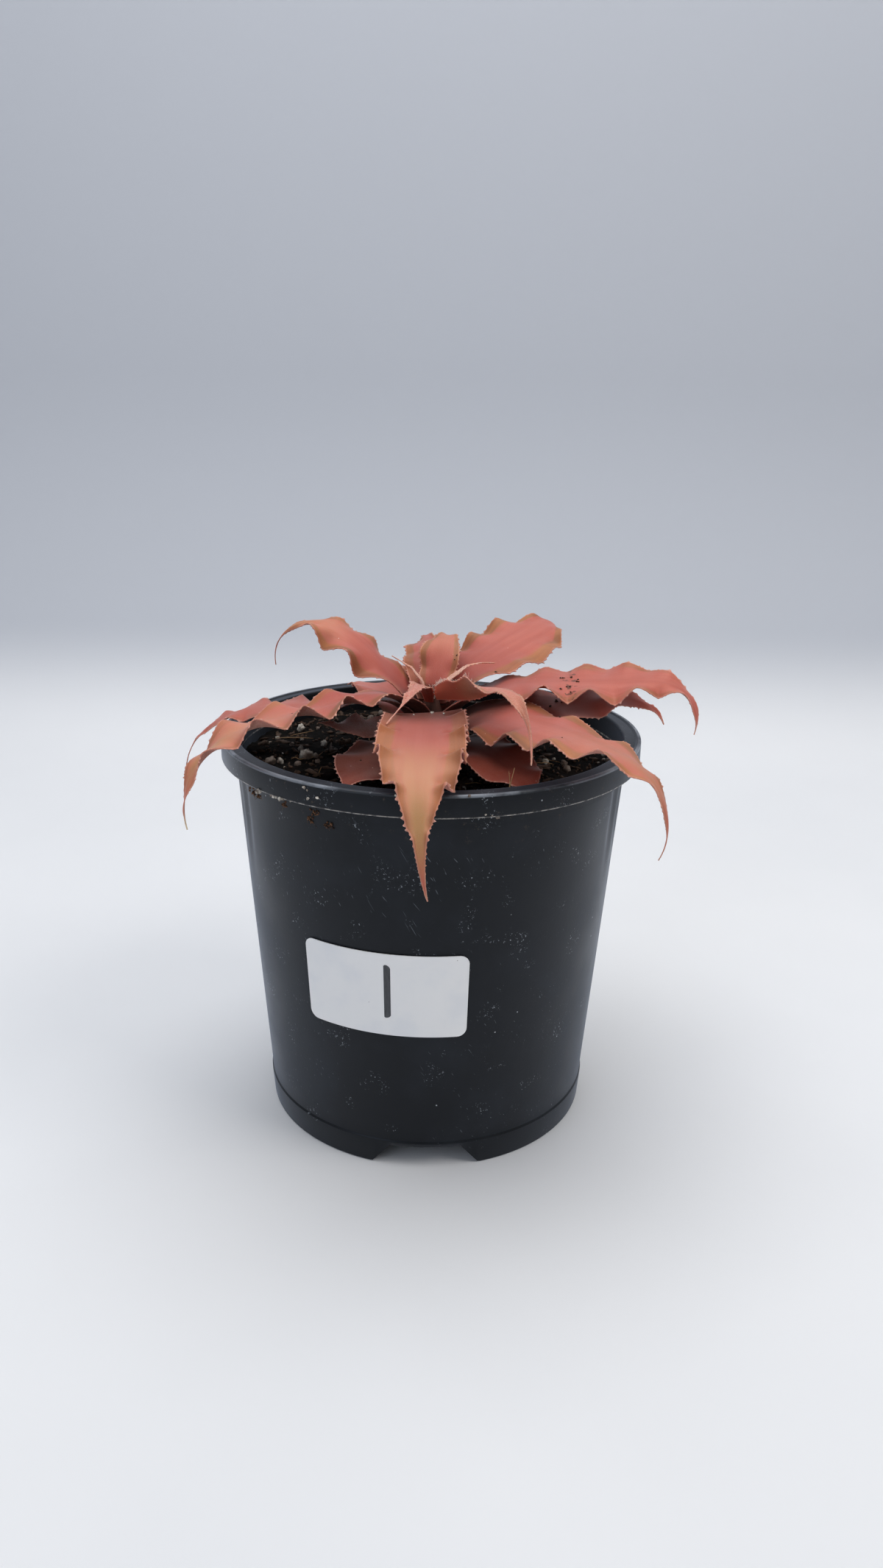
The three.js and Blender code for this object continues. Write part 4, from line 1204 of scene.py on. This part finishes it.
def teeth(length, s, seed):
    """Thin teeth up to 1.1 mm long, unevenly spaced and leaning to the tip."""
    random = np.random.default_rng(seed)
    starts = np.cumsum(random.uniform(0.7, 2.2, int(length / 0.7)))
    sizes = 0.2 + 0.9 * random.random(len(starts) + 1) ** 1.4
    which = np.searchsorted(starts, s * length)
    begin = np.concatenate([[0], starts])[which]
    end = np.concatenate([starts, [length]])[np.minimum(which, len(starts))]
    share = np.clip((s * length - begin) / np.maximum(end - begin, 0.1), 0, 1)
    return sizes[which] * np.where(share < 0.75, (share / 0.75) ** 3, (1 - share) / 0.25)


print("the front leaf's half width:", half_width(LEAVES[7], np.linspace(0, 1, 5)).round(1))

# %% Blade


def blade_points(leaf, s, v, seed):
    """Points on the middle of the blade, with the teeth's height at each."""
    slope, ahead, left, up = directions(leaf, s)
    centre = midrib(leaf, s)
    roll = np.radians(leaf["roll"] + leaf["twist"] * s)[:, None]
    rolled_left = left * np.cos(roll) + up * np.sin(roll)
    rolled_up = up * np.cos(roll) - left * np.sin(roll)
    half = half_width(leaf, s)[:, None]
    across = v[None, :]
    along = s[:, None]
    aside = across * half
    reach = np.hypot(centre[:, 0], centre[:, 1])[:, None]
    clasp = 1 - smoothstep(along, 0.12, 0.37)
    wave = wave_lift(leaf, along, across, half)
    cupped = leaf["cup"] * np.abs(across) ** 1.7 * half
    lift = clasp * np.sin(slope) * (np.hypot(reach, aside) - reach) + (1 - clasp) * cupped + wave
    tooth = np.zeros_like(aside)
    tooth[:, -1] = teeth(leaf["length"], s, seed)
    tooth[:, 0] = teeth(leaf["length"], s, seed + 1)
    tooth *= np.minimum(1, half / 2.5) * smoothstep(along, 0.03, 0.1)
    outward = aside + np.sign(across) * (wave * leaf["flare"] + tooth)
    lift = lift + 0.35 * tooth * np.sin(along * leaf["length"] * 2.1)
    points = centre[:, None] + rolled_left[:, None] * outward[..., None]
    return points + rolled_up[:, None] * lift[..., None], tooth, half


def surface_normals(points):
    along = np.gradient(points, axis=0)
    across = np.gradient(points, axis=1)
    normals = np.cross(along, across)
    return normals / (np.linalg.norm(normals, axis=-1, keepdims=True) + 1e-12)


FRONT_BLADE = blade_points(LEAVES[7], np.linspace(0, 1, 99), np.array([-1, 0, 1]), 0)[0]
print("the front leaf's lowest point:", FRONT_BLADE[..., 2].min().round(1), "mm up")

# %% [markdown]
# The teeth are fine, so a blade has nearly four stations to a millimetre, and its columns
# are closer near the margins. Where it is wide it is 1.2 mm thick in the middle, and it
# thins to its margins and its tip. A Solidify modifier would make it equally thick all
# over. No point may leave the solid model's box, so each is held inside it.

# %% Leaves
STATION_SPACING = 0.28
MARGIN_THICK = 0.3
FLESH_THICK = 0.9
DIRT_ALONG = 0.46
DIRT_LENGTH = 0.04
ROOM_LOW = np.array(CAD_BOX[0]) / MM + 0.03
ROOM_HIGH = np.array(CAD_BOX[1]) / MM - 0.03
COLUMNS = np.concatenate([[-1], np.sin(np.linspace(-0.5, 0.5, 21) * np.pi)[1:-1], [1]])
UPPER_FACES = {}


def slab_faces(rows, columns):
    """Faces of a slab whose rows go along its front and back along its rear."""
    faces = grid_faces(rows, columns, close_columns=True)
    for row in (0, rows - 1):
        base = row * columns
        for j in range(columns // 2 - 1):
            face = (base + j, base + j + 1, base + columns - 2 - j, base + columns - 1 - j)
            faces.append(face[::-1] if row == 0 else face)
    return faces


def note(piece, key, upper, lower):
    """Keeps a number for each point of a blade's upper and lower face."""
    values = np.concatenate([upper, lower[:, ::-1]], axis=1)
    layer = piece.data.attributes.new(key, "FLOAT", "POINT")
    layer.data.foreach_set("value", values.ravel().astype(np.float32))


def make_leaf(number, leaf):
    s = np.linspace(0, 1, int(leaf["length"] / STATION_SPACING) + 1)
    v = COLUMNS
    points, tooth, half = blade_points(leaf, s, v, 10 * number)
    thick = MARGIN_THICK + FLESH_THICK * smoothstep(half, 0.3, 6)
    thick = thick + (MARGIN_THICK - thick) * np.abs(v)[None, :] ** 1.5
    offset = surface_normals(points) * thick[..., None] / 2
    UPPER_FACES[number] = points + offset
    rows = np.concatenate([points + offset, (points - offset)[:, ::-1]], axis=1)
    rows = np.clip(rows, ROOM_LOW, ROOM_HIGH)
    faces = [face[::-1] for face in slab_faces(*rows.shape[:2])]
    name = "leaf_%02d" % number
    piece = make_piece(name + "_blade", rows.reshape(-1, 3), faces, LEAF, name, "leaf")
    along = np.repeat(s[:, None], len(v), 1)
    across = v[None, :] * half
    off = np.abs(v[None, :]) + 0 * along
    middle = smoothstep(off, 1.1, 0.4)
    clear = smoothstep(along, 0.4, 0.64) * smoothstep(along, 0.96, 0.8)
    # painted shade: red-brown over the leaf, stronger towards its root
    shade = leaf["shade"] + leaf["root"] * smoothstep(along, 0.5, 0.1)
    splashed = np.exp(-(((along - DIRT_ALONG) / DIRT_LENGTH) ** 2))
    facts = {
        "along": along * leaf["length"] * MM,
        "across": across * MM,
        "leaf": 0.31 * number + 0 * along,
        "edge": (half - np.abs(across)) * MM,
        "tip": along,
        "tan": leaf["tan"] * smoothstep(off, leaf["brim"], leaf["brim"] + 0.18),
        "bleach": leaf["bleach"] * clear * middle,
        "shade": np.clip(shade, 0, 0.9),
        # painted shadow: dark over the root
        "deep": 0.7 * smoothstep(along, leaf["deep"], 0.7 * leaf["deep"] - 0.01),
        "ember": 0.9 * smoothstep(along, leaf["ember"], 0.4 * leaf["ember"] - 0.01),
        "dirt": leaf["dirt"] * splashed,
        "scurf": leaf["scurf"] * smoothstep(along, leaf["bare"] - 0.15, leaf["bare"] + 0.05),
        "tooth": tooth,
        "dry": leaf["dry"] * smoothstep(along, 0.95, 0.99),
    }
    for key, values in facts.items():
        note(piece, key, values, values)
    note(piece, "top", 1 + 0 * along, 0 * along)
    return piece


BLADES = [make_leaf(i + 1, leaf) for i, leaf in enumerate(LEAVES)]
print("leaf faces:", sum(len(blade.data.polygons) for blade in BLADES))

# %% [markdown]
# Crumbs of potting mix lie on the leaves where they were splashed, and a few white
# grains sit in the heart. The youngest leaves carry a tuft of wool along the edge that
# closes the heart. Particle hair could make the wool, but an exported model loses it, so
# each hair is a thin three-sided stalk. Each crumb is given by its leaf, its share of the
# way along it, its place across from -1 to 1, and its size. Each woolly edge is given by
# its leaf, where it starts and ends along it, its side, and its count of hairs.

# %% Crumbs and wool on the leaves
DARK_CRUMBS = [
    (5, 0.46, 0.0, 0.4), (5, 0.49, 0.3, 0.6), (5, 0.51, 0.1, 0.3), (7, 0.38, 0.75, 0.3),
    (7, 0.53, -0.5, 0.25), (1, 0.69, -0.35, 0.3), (16, 0.47, -0.9, 0.35), (16, 0.42, -0.8, 0.25),
    (13, 0.2, -0.9, 0.4), (10, 0.5, 0.3, 0.2),
]
PALE_CRUMBS = [(8, 0.2, 0.1, 0.6), (8, 0.22, 0.42, 0.35), (8, 0.21, 0.5, 0.25), (8, 0.22, -0.25, 0.3)]
SPLASHED_LEAF = 11
SPLASHES = 16
WOOLLY_EDGES = [(15, 0.0, 0.1, -1, 150), (17, 0.02, 0.2, 1, 30), (15, 0.1, 0.5, -1, 50)]


def on_leaf(number, along, across, lift=0.0):
    """A place on a leaf's upper face."""
    upper = UPPER_FACES[number]
    row = int(along * (len(upper) - 1))
    column = int(np.argmin(np.abs(COLUMNS - across)))
    return upper[row, column] + np.array([0, 0, lift])


def make_leaf_crumbs(name, places, material):
    parts = [lump(on_leaf(number, along, across, 0.25 * size), size * RANDOM.uniform(0.6, 1.2, 3), 0.8)
             for number, along, across, size in places]
    return make_piece(name, *joined(parts), material, slot="leaf")


def splash_places():
    for _ in range(SPLASHES):
        along = DIRT_ALONG + 0.03 * RANDOM.normal()
        yield SPLASHED_LEAF, along, RANDOM.uniform(-0.6, 0.4), RANDOM.uniform(0.12, 0.4)


def make_wool():
    """Curled hairs along stretches of the young leaves' margins."""
    parts = []
    for number, low, high, side, count in WOOLLY_EDGES:
        for _ in range(count):
            root = on_leaf(number, RANDOM.uniform(low, high), side * RANDOM.uniform(0.8, 1))
            lean = RANDOM.normal(size=3) * 0.5
            lean[2] = abs(lean[2]) + 0.3
            end = root + lean * RANDOM.uniform(0.8, 1.4)
            curl = (root + end) / 2 + RANDOM.normal(size=3) * 0.2
            parts.append(stalk([root, curl, end], 0.06, sides=3, steps=5))
    return make_piece("heart_wool", *joined(parts), WOOL, slot="leaf")


def wool():
    material, tree, shader, place = start_material("leaf_wool", {"Roughness": 0.8, "IOR": 1.5})
    strands = node(tree, "TexNoise", {"Vector": place, "Scale": spaced(2), "Detail": 3.0})
    skin = node(tree, "Mix", {0: strands, 6: "#D9B3A5", 7: "#F3E9E0"}, 2, **COLOURS)
    tree.links.new(skin, shader.inputs["Base Color"])
    return material


WOOL = wool()
for piece in (
    make_leaf_crumbs("dark_crumbs", DARK_CRUMBS + list(splash_places()), BARK),
    make_leaf_crumbs("pale_crumbs", PALE_CRUMBS, PERLITE),
    make_wool(),
):
    print(piece.name, "faces:", len(piece.data.polygons))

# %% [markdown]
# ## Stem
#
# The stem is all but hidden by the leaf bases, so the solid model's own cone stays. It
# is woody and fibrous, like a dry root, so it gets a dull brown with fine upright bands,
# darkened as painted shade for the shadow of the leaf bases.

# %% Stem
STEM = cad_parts["stem"]
STEM.data.materials.clear()
# dark brown, with painted shade for the shadow under the leaf bases
STEM.data.materials.append(banded(
    "stem_tissue", roughness=0.8, factors=(1.0, 1.0, 0.2), size_mm=0.9, detail=4.0,
    dark="#2A1511", light="#5A3328", strength=0.5, depth_mm=0.2,
))
print("stem material:", STEM.data.materials[0].name)

# %% [markdown]
# ## Label
#
# The label is a white paper sticker, wiped on by hand, with one upright stroke drawn on
# it with a marker. Coated paper is nearly matt, with a faint sheen and a cool grey edge
# where the cut shows. Its fibres are far too fine to show and are drawn at 0.4 mm. The
# sticker could be a patch of colour on the wall, but its cut edge catches the light, so it
# is a thin slab bent round the cone, and the stroke is a film of ink that lies on it.

# %% Label
LABEL_FROM = 231.8
LABEL_TO = 281.8
LABEL_BOTTOM = 50.8
LABEL_TOP = 79.8
LABEL_OFF = 0.3
LABEL_THICK = 0.3
LABEL_CORNER = 3.0
STROKE_ANGLE = 258.3
STROKE_HALF_WIDTH = 1.05
STROKE_TOP = 76.0
STROKE_MIDDLE = 66.0
STROKE_BOTTOM = 57.2
STROKE_THICK = 0.03


def label_paper():
    material, tree, shader, place = start_material("coated_paper", {"Roughness": 0.5, "IOR": 1.5})
    smudge = node(tree, "TexNoise", {"Vector": place, "Scale": spaced(14), "Detail": 5.0})
    smudge = node(tree, "MapRange", {0: smudge, 1: 0.45, 2: 0.7, 4: 0.35}, **SMOOTH)
    skin = node(tree, "Mix", {0: smudge, 6: "#F1F1F1", 7: "#DDE1E8"}, 2, **COLOURS)
    dirt = specks(tree, place, 3, 0.08, 0.2)
    skin = node(tree, "Mix", {0: dirt, 6: skin, 7: "#8E8B86"}, 2, **COLOURS)
    fibres = node(tree, "TexNoise", {"Vector": place, "Scale": spaced(0.4), "Detail": 3.0})
    dress(tree, shader, skin, fibres, 0.15, 0.03)
    return material


def label_slab(name, angles, lows, highs, off, thick, material, node_name=None):
    """A thin slab on the pot's wall between two heights at each angle."""
    rows = []
    for angle, low, high in zip(angles, lows, highs):
        a = math.radians(angle)
        heights = np.linspace(low, high, 9)
        front = [(wall_radius(z) + off + thick, z) for z in heights]
        back = [(wall_radius(z) + off, z) for z in heights[::-1]]
        rows.append([(r * math.cos(a), r * math.sin(a), z) for r, z in front + back])
    points = np.array(rows)
    faces = slab_faces(*points.shape[:2])
    return make_piece(name, points.reshape(-1, 3), faces, material, node_name, "label", sharp=40)


def make_label():
    middle = wall_radius((LABEL_BOTTOM + LABEL_TOP) / 2)
    length = middle * math.radians(LABEL_TO - LABEL_FROM)
    end = LABEL_CORNER * (1 - np.cos(np.linspace(0, np.pi / 2, 9)))
    between = np.linspace(LABEL_CORNER, length - LABEL_CORNER, 50)[1:-1]
    along = np.concatenate([end, between, length - end[::-1]])
    near = np.minimum(along, length - along)
    inside = np.clip(LABEL_CORNER - near, 0, None)
    inset = LABEL_CORNER - np.sqrt(LABEL_CORNER**2 - inside**2)
    angles = LABEL_FROM + np.degrees(along / middle)
    return label_slab(
        "label_paper", angles, LABEL_BOTTOM + inset, LABEL_TOP - inset, LABEL_OFF, LABEL_THICK,
        label_paper(), "label",
    )


def make_stroke():
    """One pull of a marker, from the top down, with a round start and a blunt end."""
    off = LABEL_OFF + LABEL_THICK + 0.01
    t = np.linspace(-1, 1, 13)
    angles = STROKE_ANGLE + np.degrees(STROKE_HALF_WIDTH * t / wall_radius(STROKE_MIDDLE))
    rounding = 1 - np.sqrt(1 - np.clip(np.abs(t), 0, 0.98) ** 2)
    top = STROKE_TOP - 0.9 * rounding - 0.4 * t
    low = STROKE_BOTTOM + 0.7 * rounding + 0.3 * t
    # dried ink is a nearly matt, dark grey film, streaked along the pull
    ink = banded(
        "marker_ink", roughness=0.55, factors=(1.0, 1.0, 0.15), size_mm=0.5, detail=3.0,
        dark="#2B2C2F", light="#55575B", strength=0.1, depth_mm=0.02,
    )
    return label_slab("label_stroke", angles, low, top, off, STROKE_THICK, ink)


LABEL = make_label()
STROKE = make_stroke()
print("label faces:", len(LABEL.data.polygons), "stroke faces:", len(STROKE.data.polygons))

# %% [markdown]
# ## Studio
#
# The plant stood in soft daylight. A picture of the sky could light it, but a few lamps
# are easier to place, and the file stays small. A pale floor that curves up into
# a slightly darker wall stands in for the surroundings. A soft light on the right and a
# wide one overhead make the sheen on the leaves, and a weaker, bluish one in front on the
# left keeps the other side open.

# %% Floor and light
WALL_FULL = 70.0


def pale_paint():
    material, tree, shader, place = start_material("pale_sweep", {"Roughness": 0.75})
    mottle = node(tree, "TexNoise", {"Vector": place, "Scale": spaced(180), "Detail": 3.0})
    floor = node(tree, "Mix", {0: mottle, 6: "#E6E8EB", 7: "#F2F3F5"}, 2, **COLOURS)
    height = node(tree, "SeparateXYZ", {0: place}, "Z")
    upright = node(tree, "MapRange", {0: height, 1: 0.0, 2: WALL_FULL * MM}, **SMOOTH)
    skin = node(tree, "Mix", {0: upright, 6: floor, 7: "#BBBFC7"}, 2, **COLOURS)
    dress(tree, shader, skin, mottle, 0.0, 0.1)
    return material


def make_sweep():
    """A floor that curves up into a wall behind the plant."""
    profile = [(-1500.0, 0.0), (350.0, 0.0)]
    for a in np.linspace(0, np.pi / 2, 13)[1:]:
        profile.append((350 + 250 * math.sin(a), 250 - 250 * math.cos(a)))
    profile.append((600.0, 1600.0))
    rows = [[(x, y, z) for x in (-2500.0, 2500.0)] for y, z in profile]
    mesh = bpy.data.meshes.new("floor")
    points = np.array(rows).reshape(-1, 3) * MM
    mesh.from_pydata(points.tolist(), [], grid_faces(len(rows), 2))
    mesh.polygons.foreach_set("use_smooth", [True] * len(mesh.polygons))
    mesh.materials.append(pale_paint())
    floor = into_scene("floor", mesh)
    return floor


def area_light(name, place, target, size, power, tint):
    light = bpy.data.lights.new(name, "AREA")
    light.shape = "RECTANGLE"
    light.size, light.size_y = size
    light.energy = power
    light.color = colour(tint)[:3]
    lamp = into_scene(name, light)
    lamp.location = place
    lamp.rotation_euler = (Vector(target) - Vector(place)).to_track_quat("-Z", "Y").to_euler()
    return lamp


def sky():
    world = bpy.data.worlds.new("sky")
    world.use_nodes = True
    background = world.node_tree.nodes["Background"]
    background.inputs["Color"].default_value = colour("#E4E9F0")
    background.inputs["Strength"].default_value = 0.3
    bpy.context.scene.world = world


MIDDLE = (0, 0, 0.1)
make_sweep()
sky()
area_light("key", (0.8, -0.4, 1.0), MIDDLE, (0.6, 0.6), 4.8, "#FFFAF4")
area_light("fill", (-0.7, -0.9, 0.6), MIDDLE, (0.8, 0.8), 2.2, "#E6EEFF")
area_light("top", (-0.1, 0.15, 1.1), MIDDLE, (1.2, 0.7), 8.0, "#FFFFFF")
bpy.context.scene.view_settings.view_transform = "Standard"
